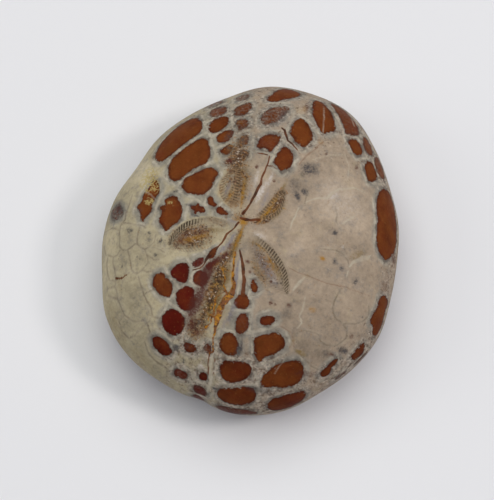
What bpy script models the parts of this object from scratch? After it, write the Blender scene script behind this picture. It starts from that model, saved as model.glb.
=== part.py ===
"""Fossil sea urchin: one solid, polished irregular test with five petals.

Metres, +Z up.  The test lies on the flat ring of its underside at Z = 0, and the origin
is the bottom centre of its bounding box.  +Y runs along the long axis to the hind end,
-Y to the front, where the front ambulacrum comes down the slope in a shallow furrow.
Angles are in degrees, counter-clockwise from +X, seen from above.
"""
import math

import bmesh
import bpy
from mathutils import Vector

MM = 0.001

# Driving dimensions, in millimetres until they are scaled by MM
OUTLINE_RADII = (
    19.1, 18.9, 19.4, 19.9, 21.2, 22.7, 22.8, 22.5,
    21.1, 20.3, 19.8, 19.1, 19.6, 19.9, 20.2, 21.3,
    21.6, 21.3, 21.3, 21.9, 21.7, 20.8, 20.4, 20.0,
)                               # plan of the margin, one radius every 15 degrees from +X
MARGIN_HEIGHT = 7.5             # widest level above the resting plane
DOME_RISE = 10.0                # apex above the widest level
DOME_PLAN_POWER = 2.2           # superellipse powers of the dome's profile
DOME_RISE_POWER = 1.95
APEX = (-2.0, 0.8)              # the five petals meet left of the plan's centre

BELLY_POWER = 2.1               # roundness between the margin and the resting ring
RING_OUTER_SHARE = 0.64         # resting ring, as shares of the margin's radius
RING_INNER_SHARE = 0.48
MOUTH_HOLLOW = 0.9              # rise of the hollow inside the resting ring
MOUTH_CENTRE = (0.3, -2.2)      # peristome, a little ahead of the middle
MOUTH_RADII = (2.6, 2.1)
MOUTH_DEPTH = 1.4
LIP_HEIGHT = 0.35               # five swollen lips round the mouth
VENT_ANGLE = 93.0               # periproct, low on the hind margin
VENT_HEIGHT = 4.6
VENT_RADII = (2.1, 1.5)
VENT_DEPTH = 0.9

PETALS = {                      # axis angle, start and length along it, half width, sideways bow
    "front_left": (218.0, 1.4, 9.9, 2.15, 0.0),
    "front_right": (321.0, 1.8, 11.2, 1.75, 0.0),
    "hind_left": (114.5, 1.3, 7.4, 1.35, 1.3),
    "hind_right": (55.0, 1.4, 6.8, 1.05, -1.2),
}
PORE_ZONE_WIDTH = 0.95          # band of slit pores along each side of a petal
PORE_ZONE_DEPTH = 0.20
PETAL_SKEW = 1.25               # above 1, the petals are widest beyond their middle
PETAL_SWELL = 0.08              # the strip between two pore zones stands slightly proud

FURROW_PATH = ((-1.8, 0.4), (-1.2, -4.5), (-0.1, -8.0), (-0.4, -11.0), (0.0, -15.0), (0.3, -21.5))
FURROW_WIDTHS = (0.6, 0.8, 1.2, 1.2, 0.9, 1.6)
FURROW_DEPTHS = (0.06, 0.16, 0.30, 0.26, 0.14, 0.30)

SEGMENTS = 90                   # mesh: meridians, and rings from pole to pole
RINGS = 50
DOME_RINGS = 32                 # rings above the margin, closer together near the apex
DOME_RING_CROWDING = 1.3
FLANK_RINGS = 7                 # rings from the margin to the resting ring, and on it
FLAT_RINGS = 3

STONE_COLOUR = (0.42, 0.33, 0.23, 1.0)
STONE_ROUGHNESS = 0.28
COLLECTION = "fossil_sea_urchin"
NODE = "fossil_sea_urchin"


def clear_scene():
    """Remove every object of the start-up scene."""
    for item in list(bpy.data.objects):
        bpy.data.objects.remove(item, do_unlink=True)


def smooth_step(value):
    """Ease a value from 0 to 1 with flat ends."""
    value = min(max(value, 0.0), 1.0)
    return value * value * (3.0 - 2.0 * value)


def outline_radius(angle):
    """Radius of the margin at an angle: a closed curve through OUTLINE_RADII."""
    count = len(OUTLINE_RADII)
    place = (angle % 360.0) * count / 360.0
    index = int(place)
    part = place - index
    a, b, c, d = (OUTLINE_RADII[(index + step) % count] for step in (-1, 0, 1, 2))
    straight = (c - a) * part
    curved = (2 * a - 5 * b + 4 * c - d) * part ** 2 + (3 * b - a - 3 * c + d) * part ** 3
    return b + 0.5 * (straight + curved)


def dome_point(angle, descent):
    """Point on the smooth dome; descent runs from 0 at the apex to 1 at the margin."""
    turn = descent * math.pi / 2
    share = math.sin(turn) ** (2 / DOME_PLAN_POWER)
    height = MARGIN_HEIGHT + DOME_RISE * max(math.cos(turn), 0.0) ** (2 / DOME_RISE_POWER)
    radius = outline_radius(angle) * share
    shift = 1.0 - share ** 2
    x = APEX[0] * shift + radius * math.cos(math.radians(angle))
    y = APEX[1] * shift + radius * math.sin(math.radians(angle))
    return Vector((x, y, height))


def flank_point(angle, inward):
    """Point on the rounded flank; inward runs from 0 at the margin to 1 at the ring."""
    turn = inward * math.pi / 2
    share = max(math.cos(turn), 0.0) ** (2 / BELLY_POWER)
    share = RING_OUTER_SHARE + (1.0 - RING_OUTER_SHARE) * share
    height = MARGIN_HEIGHT * (1.0 - math.sin(turn) ** (2 / BELLY_POWER))
    radius = outline_radius(angle) * share
    point = Vector((radius * math.cos(math.radians(angle)),
                    radius * math.sin(math.radians(angle)), height))
    inwards = Vector((-math.cos(math.radians(angle)), -math.sin(math.radians(angle)), 0.4))
    return point + inwards * vent_relief(point)


def hollow_point(angle, inward):
    """Point in the mouth hollow; inward runs from 0 at the resting ring to 1 at the mouth."""
    share = 1.0 - inward
    radius = outline_radius(angle) * RING_INNER_SHARE * share
    shift = 1.0 - share ** 2
    x = MOUTH_CENTRE[0] * shift + radius * math.cos(math.radians(angle))
    y = MOUTH_CENTRE[1] * shift + radius * math.sin(math.radians(angle))
    return Vector((x, y, MOUTH_HOLLOW * smooth_step(inward) + mouth_relief(x, y)))


def dome_normal(angle, descent):
    """Unit normal of the smooth dome, from its neighbours each way."""
    step_angle, step_descent = 0.5, 0.004
    low, high = max(descent - step_descent, 0.001), min(descent + step_descent, 0.999)
    around = dome_point(angle + step_angle, descent) - dome_point(angle - step_angle, descent)
    along = dome_point(angle, high) - dome_point(angle, low)
    normal = along.cross(around)
    if normal.length < 1e-9:
        return Vector((0.0, 0.0, 1.0))
    return normal.normalized()


def petal_relief(x, y):
    """Height of the petals at a plan position: pore bands sunk, middle strip raised."""
    relief = 0.0
    for axis, start, length, half_width, bow in PETALS.values():
        cosine, sine = math.cos(math.radians(axis)), math.sin(math.radians(axis))
        dx, dy = x - APEX[0], y - APEX[1]
        out = dx * cosine + dy * sine
        along = (out - start) / (length - start)
        across = abs(dy * cosine - dx * sine - bow * math.sin(math.pi * out / length))
        if not 0.0 < along < 1.08:
            continue
        edge = half_width * math.sin(math.pi * min(along, 1.0) ** PETAL_SKEW) ** 0.6
        band = (across - edge + PORE_ZONE_WIDTH / 2) / (PORE_ZONE_WIDTH / 2)
        fade = smooth_step(along / 0.12) * smooth_step((1.08 - along) / 0.1)
        relief -= PORE_ZONE_DEPTH * fade * math.exp(-band * band)
        if across < edge - PORE_ZONE_WIDTH:
            relief += PETAL_SWELL * fade * smooth_step((edge - PORE_ZONE_WIDTH - across) / 0.5)
    return relief


def furrow_relief(x, y):
    """Depth of the front furrow at a plan position, measured from its bent centre line."""
    deepest = 0.0
    spot = Vector((x, y))
    for index in range(len(FURROW_PATH) - 1):
        head, tail = Vector(FURROW_PATH[index]), Vector(FURROW_PATH[index + 1])
        run = tail - head
        part = min(max((spot - head).dot(run) / run.length_squared, 0.0), 1.0)
        off = (spot - head - run * part).length
        width = FURROW_WIDTHS[index] * (1 - part) + FURROW_WIDTHS[index + 1] * part
        depth = FURROW_DEPTHS[index] * (1 - part) + FURROW_DEPTHS[index + 1] * part
        deepest = max(deepest, depth * math.exp(-(off / width) ** 2))
    return -deepest


def mouth_relief(x, y):
    """Rise of the peristome pit above the hollow, less the five lips round it."""
    side, ahead = x - MOUTH_CENTRE[0], y - MOUTH_CENTRE[1]
    off = math.hypot(side / MOUTH_RADII[0], ahead / MOUTH_RADII[1])
    lobes = 0.5 + 0.5 * math.cos(5 * (math.atan2(ahead, side) - math.pi / 2))
    lips = LIP_HEIGHT * lobes * math.exp(-((off - 1.5) / 0.4) ** 2)
    return MOUTH_DEPTH * smooth_step(1.5 - off) - lips


def vent_relief(point):
    """Depth of the periproct pit, low on the hind margin."""
    angle = math.radians(VENT_ANGLE)
    side = point.x * math.sin(angle) - point.y * math.cos(angle)
    ahead = point.x * math.cos(angle) + point.y * math.sin(angle)
    off = math.hypot(side / VENT_RADII[0], (point.z - VENT_HEIGHT) / VENT_RADII[1])
    return VENT_DEPTH * smooth_step(1.5 - off) if ahead > 0.0 else 0.0


def ring_point(angle, ring):
    """Point on the finished surface; ring runs from 0 at the apex to RINGS at the mouth."""
    if ring <= DOME_RINGS:
        descent = (ring / DOME_RINGS) ** DOME_RING_CROWDING
        point = dome_point(angle, descent)
        relief = petal_relief(point.x, point.y) + furrow_relief(point.x, point.y)
        return point + dome_normal(angle, descent) * relief
    ring -= DOME_RINGS
    if ring <= FLANK_RINGS:
        return flank_point(angle, ring / FLANK_RINGS)
    ring -= FLANK_RINGS
    if ring <= FLAT_RINGS:
        share = RING_OUTER_SHARE + (RING_INNER_SHARE - RING_OUTER_SHARE) * ring / FLAT_RINGS
        radius = outline_radius(angle) * share
        return Vector((radius * math.cos(math.radians(angle)),
                       radius * math.sin(math.radians(angle)), 0.0))
    hollow_rings = RINGS - DOME_RINGS - FLANK_RINGS - FLAT_RINGS
    return hollow_point(angle, (ring - FLAT_RINGS) / hollow_rings)


def centre_on_box(mesh):
    """Move the vertices so that the bounding box stands centred on the origin."""
    xs, ys, zs = zip(*(vertex.co for vertex in mesh.vertices))
    offset = Vector(((min(xs) + max(xs)) / 2, (min(ys) + max(ys)) / 2, min(zs)))
    for vertex in mesh.vertices:
        vertex.co -= offset


def stone_material():
    """Plain polished stone."""
    material = bpy.data.materials.new("polished_stone")
    material.use_nodes = True
    shader = material.node_tree.nodes["Principled BSDF"]
    shader.inputs["Base Color"].default_value = STONE_COLOUR
    shader.inputs["Roughness"].default_value = STONE_ROUGHNESS
    return material


def build_test(collection):
    """Shape a UV sphere into the test, one closed solid."""
    mesh = bpy.data.meshes.new(NODE)
    shape = bmesh.new()
    bmesh.ops.create_uvsphere(shape, u_segments=SEGMENTS, v_segments=RINGS, radius=1.0)
    for vertex in shape.verts:
        ring = round(math.acos(max(min(vertex.co.z, 1.0), -1.0)) / math.pi * RINGS)
        angle = math.degrees(math.atan2(vertex.co.y, vertex.co.x))
        vertex.co = ring_point(angle, ring) * MM
    bmesh.ops.triangulate(shape, faces=shape.faces)
    bmesh.ops.recalc_face_normals(shape, faces=shape.faces)
    shape.to_mesh(mesh)
    shape.free()
    centre_on_box(mesh)
    mesh.shade_smooth()
    mesh.materials.append(stone_material())
    test = bpy.data.objects.new(NODE, mesh)
    collection.objects.link(test)
    return test


def main():
    """Build the part in a collection of its own."""
    clear_scene()
    collection = bpy.data.collections.new(COLLECTION)
    bpy.context.scene.collection.children.link(collection)
    build_test(collection)


main()
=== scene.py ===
"""Looks of a fossil sea urchin: a polished stone test with five petals and jasper plates.

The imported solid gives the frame: metres, +Z up, the test lying on Z = 0, +Y to its hind
end.  One fine mesh of the same form stands for the solid.  The plates, petals, cracks and
stains are worked out in the test's own coordinates and kept as point attributes, which
the stone's material reads.
"""

import logging
import math
from dataclasses import dataclass, field
from enum import Enum

import bpy
import numpy as np
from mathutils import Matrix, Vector, noise


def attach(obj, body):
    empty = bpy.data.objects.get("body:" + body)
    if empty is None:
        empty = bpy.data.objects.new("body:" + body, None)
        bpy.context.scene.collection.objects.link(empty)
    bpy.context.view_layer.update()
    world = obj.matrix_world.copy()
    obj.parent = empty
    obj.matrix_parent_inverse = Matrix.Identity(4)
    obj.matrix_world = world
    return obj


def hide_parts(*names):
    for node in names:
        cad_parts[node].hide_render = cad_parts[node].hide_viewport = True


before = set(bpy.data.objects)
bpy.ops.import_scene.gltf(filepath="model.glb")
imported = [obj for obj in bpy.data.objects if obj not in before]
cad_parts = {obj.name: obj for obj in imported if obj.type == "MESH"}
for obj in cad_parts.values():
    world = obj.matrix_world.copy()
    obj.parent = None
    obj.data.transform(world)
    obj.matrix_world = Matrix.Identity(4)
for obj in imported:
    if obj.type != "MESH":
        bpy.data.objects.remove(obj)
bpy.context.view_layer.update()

MM = 0.001
NODE = "fossil_sea_urchin"
LOG = logging.getLogger("fossil_sea_urchin")


# ---------------------------------------------------------------- small helpers

def smooth_step(value: np.ndarray, low: float = 0.0, high: float = 1.0) -> np.ndarray:
    """Ease values from 0 at low to 1 at high with flat ends.

    Args:
        value: values to ease.
        low: value that gives 0.
        high: value that gives 1.

    Returns:
        Eased values between 0 and 1.
    """
    part = np.clip((value - low) / (high - low), 0.0, 1.0)
    return part * part * (3.0 - 2.0 * part)


def rock_noise(points: np.ndarray, size: float, seed: int) -> np.ndarray:
    """Smooth noise between about -1 and 1 at each point.

    Args:
        points: positions in millimetres, one row each.
        size: size of a lump in millimetres.
        seed: moves the pattern, so that two fields differ.

    Returns:
        One noise value for each point.
    """
    shifted = points / size + 17.31 * seed
    return np.array([noise.noise(Vector(row)) for row in shifted.tolist()])


def plan_directions(angle: np.ndarray) -> np.ndarray:
    """Unit vectors in the plan at angles in degrees."""
    turn = np.radians(angle)
    return np.stack([np.cos(turn), np.sin(turn), np.zeros_like(turn)], -1)


# ---------------------------------------------------------------- the form of the test

@dataclass(frozen=True)
class TestForm:
    """Smooth form of the test, in millimetres, before it is centred on the origin."""

    outline_radii: tuple[float, ...] = (
        19.1, 18.9, 19.4, 19.9, 21.2, 22.7, 22.8, 22.5,
        21.1, 20.3, 19.8, 19.1, 19.6, 19.9, 20.2, 21.3,
        21.6, 21.3, 21.3, 21.9, 21.7, 20.8, 20.4, 20.0,
    )
    margin_height: float = 7.5
    dome_rise: float = 10.0
    dome_plan_power: float = 2.2
    dome_rise_power: float = 1.95
    apex: tuple[float, float] = (-2.0, 0.8)
    belly_power: float = 2.1
    ring_outer_share: float = 0.64
    ring_inner_share: float = 0.48
    mouth_hollow: float = 0.9
    mouth_centre: tuple[float, float] = (0.3, -2.2)
    mouth_radii: tuple[float, float] = (2.6, 2.1)
    mouth_depth: float = 1.4
    lip_height: float = 0.35
    vent_angle: float = 93.0
    vent_height: float = 4.6
    vent_radii: tuple[float, float] = (2.1, 1.5)
    vent_depth: float = 0.9
    flank_end: float = 1.0 + 7.0 / 18.0
    flat_end: float = 1.0 + 10.0 / 18.0

    def outline_radius(self, angle: np.ndarray) -> np.ndarray:
        """Radius of the margin at angles in degrees, a closed curve through the radii."""
        knots = np.array(self.outline_radii)
        place = (angle % 360.0) * len(knots) / 360.0
        index = np.floor(place).astype(int)
        part = place - index
        a, b, c, d = (knots[(index + step) % len(knots)] for step in (-1, 0, 1, 2))
        bend = (2 * a - 5 * b + 4 * c - d) * part ** 2 + (3 * b - a - 3 * c + d) * part ** 3
        return b + 0.5 * ((c - a) * part + bend)

    def dome(self, angle: np.ndarray, descent: np.ndarray) -> np.ndarray:
        """Points on the dome; descent runs from 0 at the apex to 1 at the margin."""
        turn = descent * math.pi / 2
        share = np.sin(turn) ** (2 / self.dome_plan_power)
        shift = (1.0 - share ** 2)[:, None] * np.array([*self.apex, 0.0])
        points = plan_directions(angle) * (self.outline_radius(angle) * share)[:, None] + shift
        lift = np.clip(np.cos(turn), 0.0, 1.0) ** (2 / self.dome_rise_power)
        points[:, 2] = self.margin_height + self.dome_rise * lift
        return points

    def flank(self, angle: np.ndarray, inward: np.ndarray) -> np.ndarray:
        """Points on the flank; inward runs from 0 at the margin to 1 at the resting ring."""
        turn = inward * math.pi / 2
        share = np.clip(np.cos(turn), 0.0, 1.0) ** (2 / self.belly_power)
        share = self.ring_outer_share + (1.0 - self.ring_outer_share) * share
        points = plan_directions(angle) * (self.outline_radius(angle) * share)[:, None]
        points[:, 2] = self.margin_height * (1.0 - np.sin(turn) ** (2 / self.belly_power))
        sunk = self.vent_sink(points)
        points -= plan_directions(angle) * sunk[:, None]
        points[:, 2] += 0.4 * sunk
        return points

    def hollow(self, angle: np.ndarray, inward: np.ndarray) -> np.ndarray:
        """Points in the hollow; inward runs from 0 at the resting ring to 1 at the mouth."""
        share = 1.0 - inward
        radius = self.outline_radius(angle) * self.ring_inner_share * share
        shift = (1.0 - share ** 2)[:, None] * np.array([*self.mouth_centre, 0.0])
        points = plan_directions(angle) * radius[:, None] + shift
        points[:, 2] = self.mouth_hollow * smooth_step(inward) + self.mouth_rise(points)
        return points

    def vent_sink(self, points: np.ndarray) -> np.ndarray:
        """Depth of the vent pit, low on the hind margin."""
        ahead_axis = plan_directions(np.array([self.vent_angle]))[0]
        side = points[:, 0] * ahead_axis[1] - points[:, 1] * ahead_axis[0]
        height = (points[:, 2] - self.vent_height) / self.vent_radii[1]
        off = np.hypot(side / self.vent_radii[0], height)
        return self.vent_depth * smooth_step(1.5 - off) * (points @ ahead_axis > 0.0)

    def mouth_rise(self, points: np.ndarray) -> np.ndarray:
        """Rise of the mouth pit above the hollow, less the five lips round it."""
        side = points[:, 0] - self.mouth_centre[0]
        ahead = points[:, 1] - self.mouth_centre[1]
        off = np.hypot(side / self.mouth_radii[0], ahead / self.mouth_radii[1])
        lobes = 0.5 + 0.5 * np.cos(5 * (np.arctan2(ahead, side) - math.pi / 2))
        lips = self.lip_height * lobes * np.exp(-((off - 1.5) / 0.4) ** 2)
        return self.mouth_depth * smooth_step(1.5 - off) - lips

    def points(self, angle: np.ndarray, reach: np.ndarray) -> np.ndarray:
        """Points of the smooth form.

        Args:
            angle: plan angles in degrees.
            reach: 0 at the apex, 1 at the margin and 2 at the mouth.

        Returns:
            Positions in millimetres, one row each.
        """
        result = self.dome(angle, np.clip(reach, 0.0, 1.0))
        flat_share = np.interp(reach, [self.flank_end, self.flat_end],
                               [self.ring_outer_share, self.ring_inner_share])
        flat = plan_directions(angle) * (self.outline_radius(angle) * flat_share)[:, None]
        flank_place = np.clip((reach - 1.0) / (self.flank_end - 1.0), 0.0, 1.0)
        hollow_place = np.clip((reach - self.flat_end) / (2.0 - self.flat_end), 0.0, 1.0)
        for start, part in ((1.0, self.flank(angle, flank_place)), (self.flank_end, flat),
                            (self.flat_end, self.hollow(angle, hollow_place))):
            result = np.where((reach > start)[:, None], part, result)
        return result


@dataclass
class Surface:
    """The test's points with what the fields need: place, scale and outward normal."""

    form: TestForm
    angle: np.ndarray
    reach: np.ndarray
    position: np.ndarray = field(init=False)
    normal: np.ndarray = field(init=False)
    angle_scale: np.ndarray = field(init=False)
    reach_scale: np.ndarray = field(init=False)

    def __post_init__(self) -> None:
        """Work out the positions, the millimetres per degree and per reach, and normals."""
        turn, step = 0.4, 0.003
        self.position = self.form.points(self.angle, self.reach)
        around = (self.form.points(self.angle + turn, self.reach)
                  - self.form.points(self.angle - turn, self.reach))
        low, high = np.clip(self.reach - step, 0.0, 2.0), np.clip(self.reach + step, 0.0, 2.0)
        along = self.form.points(self.angle, high) - self.form.points(self.angle, low)
        self.angle_scale = np.linalg.norm(around, axis=1) / (2 * turn)
        self.reach_scale = np.linalg.norm(along, axis=1) / (high - low)
        normal = np.cross(along, around)
        length = np.linalg.norm(normal, axis=1)
        normal[length < 1e-9] = (0.0, 0.0, 1.0)
        length[length < 1e-9] = 1.0
        self.normal = normal / length[:, None]

    @property
    def plan(self) -> np.ndarray:
        """Plan positions relative to the form's own centre."""
        return self.position[:, :2]

    @property
    def on_dome(self) -> np.ndarray:
        """1 on the dome and 0 on the underside, eased at the margin."""
        return 1.0 - smooth_step(self.reach, 0.98, 1.04)


# ---------------------------------------------------------------- petals

@dataclass(frozen=True)
class Petal:
    """One petal: a lens between two rows of slit pores, on an axis that may be bowed."""

    name: str
    axis: float
    start: float
    length: float
    half_width: float
    bow: float
    left_row: float
    right_row: float
    row_fade: tuple[float, float]
    warmth: float
    ground: tuple[float, float]
    skew: float = 1.25
    zone_width: float = 0.95
    zone_depth: float = 0.20
    swell: float = 0.08
    pore_pitch: float = 0.39

    def local(self, surface: Surface) -> tuple[np.ndarray, np.ndarray]:
        """Place along the axis as a share of the petal, and millimetres to its left."""
        offset = surface.plan - np.array(surface.form.apex)
        heading = plan_directions(np.array([self.axis]))[0]
        out = offset @ heading[:2]
        left = offset[:, 1] * heading[0] - offset[:, 0] * heading[1]
        left = left - self.bow * np.sin(math.pi * out / self.length)
        return (out - self.start) / (self.length - self.start), left

    def edge(self, share: np.ndarray) -> np.ndarray:
        """Half width of the petal at a share of its length."""
        bulge = np.sin(math.pi * np.clip(share, 0.0, 1.0) ** self.skew)
        return self.half_width * np.clip(bulge, 0.0, 1.0) ** 0.6

    def fade(self, share: np.ndarray) -> np.ndarray:
        """1 along the petal, eased to 0 at both ends."""
        return smooth_step(share, 0.0, 0.12) * (1.0 - smooth_step(share, 0.98, 1.08))

    def relief(self, surface: Surface) -> np.ndarray:
        """Height of the sunken pore zones and the raised strip, without the pores."""
        share, left = self.local(surface)
        across, edge, fade = np.abs(left), self.edge(share), self.fade(share)
        half = self.zone_width / 2
        band = (across - edge + half) / half
        strip = smooth_step((edge - self.zone_width - across) / 0.5)
        return fade * surface.on_dome * (self.swell * strip - self.zone_depth * np.exp(-band ** 2))

    def pores(self, surface: Surface) -> tuple[np.ndarray, np.ndarray, np.ndarray]:
        """Coordinates of the slit pores.

        Args:
            surface: the test's points.

        Returns:
            Pore number along the row, place across the zone from -1 to 1, and strength.
        """
        share, left = self.local(surface)
        table = np.linspace(0.0, 1.0, 200)
        steps = np.hypot(np.diff(table) * (self.length - self.start), np.diff(self.edge(table)))
        arc = np.concatenate([[0.0], np.cumsum(steps)])
        inward = self.edge(share) - np.abs(left)
        phase = (np.interp(share, table, arc) - 0.45 * inward) / self.pore_pitch
        half = self.zone_width / 2
        band = 1.0 - inward / half
        row = np.where(left > 0.0, self.left_row, self.right_row)
        row = row * smooth_step(share, *self.row_fade) * (1.0 - smooth_step(share, 0.99, 1.06))
        strength = row * surface.on_dome * (share > 0.0)
        return phase, band, strength * (1.0 - smooth_step(np.abs(band), 0.95, 1.25))

    def inside(self, surface: Surface) -> np.ndarray:
        """1 inside the petal's outer edge, eased to 0 outside."""
        share, left = self.local(surface)
        cover = smooth_step(self.edge(share) + 0.3 - np.abs(left), 0.0, 0.3)
        return cover * self.fade(share) * surface.on_dome


PETALS = (
    Petal("front_left", 218.0, 1.4, 9.9, 2.15, 0.0, 0.22, 1.0, (0.30, 0.60), 0.15, (0.15, 0.75)),
    Petal("front_right", 321.0, 1.8, 11.2, 1.75, 0.0, 0.80, 0.15, (0.10, 0.35), 0.25, (0.95, 0.25)),
    Petal("hind_left", 114.5, 1.3, 7.4, 1.35, 1.3, 0.40, 0.60, (0.10, 0.30), 0.9, (0.6, 0.7),
          zone_width=0.85),
    Petal("hind_right", 55.0, 1.4, 6.8, 1.05, -1.2, 0.45, 0.60, (0.05, 0.25), 0.6, (0.7, 0.6),
          zone_width=0.75),
)


# ---------------------------------------------------------------- veins and smudges

@dataclass(frozen=True)
class Vein:
    """A filled crack: a bent line in plan with a half width at each of its points."""

    name: str
    path: tuple[tuple[float, float], ...]
    half_widths: tuple[float, ...]
    wobble: float = 0.08

    def cover(self, surface: Surface, jitter: np.ndarray, softness: float) -> np.ndarray:
        """How much of each point the vein covers.

        Args:
            surface: the test's points.
            jitter: two columns of noise that make the line uneven.
            softness: millimetres over which its edge fades.

        Returns:
            Cover from 0 to 1.
        """
        spot = surface.plan + self.wobble * jitter
        best = np.full(len(spot), -10.0)
        for index in range(len(self.path) - 1):
            head, tail = np.array(self.path[index]), np.array(self.path[index + 1])
            run = tail - head
            part = np.clip((spot - head) @ run / (run @ run), 0.0, 1.0)
            off = np.linalg.norm(spot - head - part[:, None] * run, axis=1)
            width = self.half_widths[index] * (1 - part) + self.half_widths[index + 1] * part
            best = np.maximum(best, width - off)
        return smooth_step(best, -softness, softness) * surface.on_dome


@dataclass(frozen=True)
class Smudge:
    """A soft stain in plan: centre, radii, turn and strength."""

    x: float
    y: float
    long_radius: float
    short_radius: float
    turn: float = 0.0
    strength: float = 1.0

    def cover(self, surface: Surface) -> np.ndarray:
        """Strength of the stain at each point of the dome."""
        offset = surface.plan - np.array([self.x, self.y])
        heading = plan_directions(np.array([self.turn]))[0]
        along = offset @ heading[:2]
        side = offset[:, 1] * heading[0] - offset[:, 0] * heading[1]
        spread = (along / self.long_radius) ** 2 + (side / self.short_radius) ** 2
        return self.strength * np.exp(-spread ** 1.3) * surface.on_dome


def smudges(*rows: tuple[float, ...]) -> tuple[Smudge, ...]:
    """Smudges from rows of x, y, long radius, short radius, turn and strength."""
    return tuple(Smudge(*row) for row in rows)


def layer(marks: tuple[Smudge, ...], surface: Surface) -> np.ndarray:
    """Strongest of several smudges at each point."""
    return np.max([mark.cover(surface) for mark in marks], axis=0)


# ---------------------------------------------------------------- cracks and stains

CRACKS = (
    Vein("hind", ((-2.1, 1.6), (-1.85, 2.3), (-1.65, 3.3), (-1.5, 4.6), (-1.45, 5.5), (-1.3, 6.1),
         (-1.45, 6.9), (-1.45, 8), (-1.45, 9.2), (-1.55, 10.3)), (.2, .16, .14, .19, .18, .19, .14, .13,
         .1, .08)),
    Vein("hind_left_branch", ((-3.3, 10.1), (-2.6, 10.25), (-1.8, 10.35)), (.05, .12, .07)),
    Vein("hind_cross", ((-1.3, 8.9), (-.7, 9.1), (0, 8.95)), (.08, .09, .05)),
    Vein("hind_branch", ((-1.5, 14.8), (-1, 14.6), (-.5, 13.8), (-.2, 13.35), (.4, 13.1), (1, 12.75),
         (1.6, 12.4)), (.1, .17, .14, .1, .13, .12, .06)),
    Vein("crown", ((-2.2, 1), (-1.5, 1), (-.8, 1.15), (-.3, 1.45), (.15, 1.6)), (.14, .22, .18, .16,
         .22)),
    Vein("crown_left", ((-2.2, .4), (-2.35, -.1), (-2.5, -.6), (-2.8, -1.1)), (.1, .14, .1, .12)),
    Vein("front_left", ((-2.8, -1.1), (-3.1, -1.6), (-3.2, -2.3), (-3.25, -2.9), (-3.5, -3.4),
         (-3.75, -3.9), (-4.1, -4.6), (-4.35, -5.3), (-4.5, -6.2), (-4.8, -6.9), (-5.6, -7.4)), (.1, .15,
         .14, .11, .11, .24, .32, .22, .07, .1, .1)),
    Vein("front_right", ((-.85, -3), (-.45, -3.7), (.1, -4.5), (.45, -5.2), (.75, -5.9), (1.1, -6.6),
         (1.3, -7.4), (1.5, -8.2)), (.08, .17, .18, .22, .18, .24, .24, .3)),
    Vein("tail_edge", ((-.1, -16.2), (.05, -17.3), (.35, -18.3), (.8, -19.3)), (.1, .07, .08, .04), .1),
    Vein("tail_edge_right", ((.75, -16.6), (.9, -17.6), (1.2, -18.5)), (.03, .05, .03), .1),
    Vein("rust_dashes", ((-15.1, -10.8), (-14.7, -10.6), (-14.3, -10.6), (-13.8, -10.3)), (.14, .07, .16,
         .05), .25),
)

CRUSTS = (
    Vein("furrow_left_thread", ((-2.2, -6), (-1.7, -6.6), (-1.2, -7.6), (-1, -8.6), (-1.4, -9.4),
         (-1.5, -10.6), (-1.3, -11.6), (-1.7, -12.6)), (.1, .05, .08, .12, .07, .1, .12, .06), .3),
    Vein("furrow_top_thread", ((-1.2, -3.4), (-1.1, -4.3), (-.85, -5.2), (-.7, -5.9)), (.06, .1, .12,
         .12), .12),
    Vein("furrow", ((-.7, -5.9), (-.35, -6.7), (.05, -7.5), (.15, -8.4), (-.25, -9.3), (-.55, -10.3),
         (-.6, -11.5), (-.55, -12.6), (-.45, -13.4)), (.12, .16, .24, .36, .42, .36, .42, .34, .18), .2),
    Vein("furrow_spur", ((-.4, -8.9), (-.9, -8.5), (-1.3, -8.5)), (.16, .14, .05), .15),
    Vein("furrow_edge", ((-.9, -11.9), (-1.25, -12.1), (-1.3, -12.9), (-1.55, -13.6)), (.16, .12, .1, .2),
         .15),
    Vein("furrow_tail", ((-.45, -13.3), (-.3, -14.3), (0, -15.3), (.2, -16), (0, -16.5)), (.18, .14, .12,
         .12, .1), .14),
)

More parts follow.
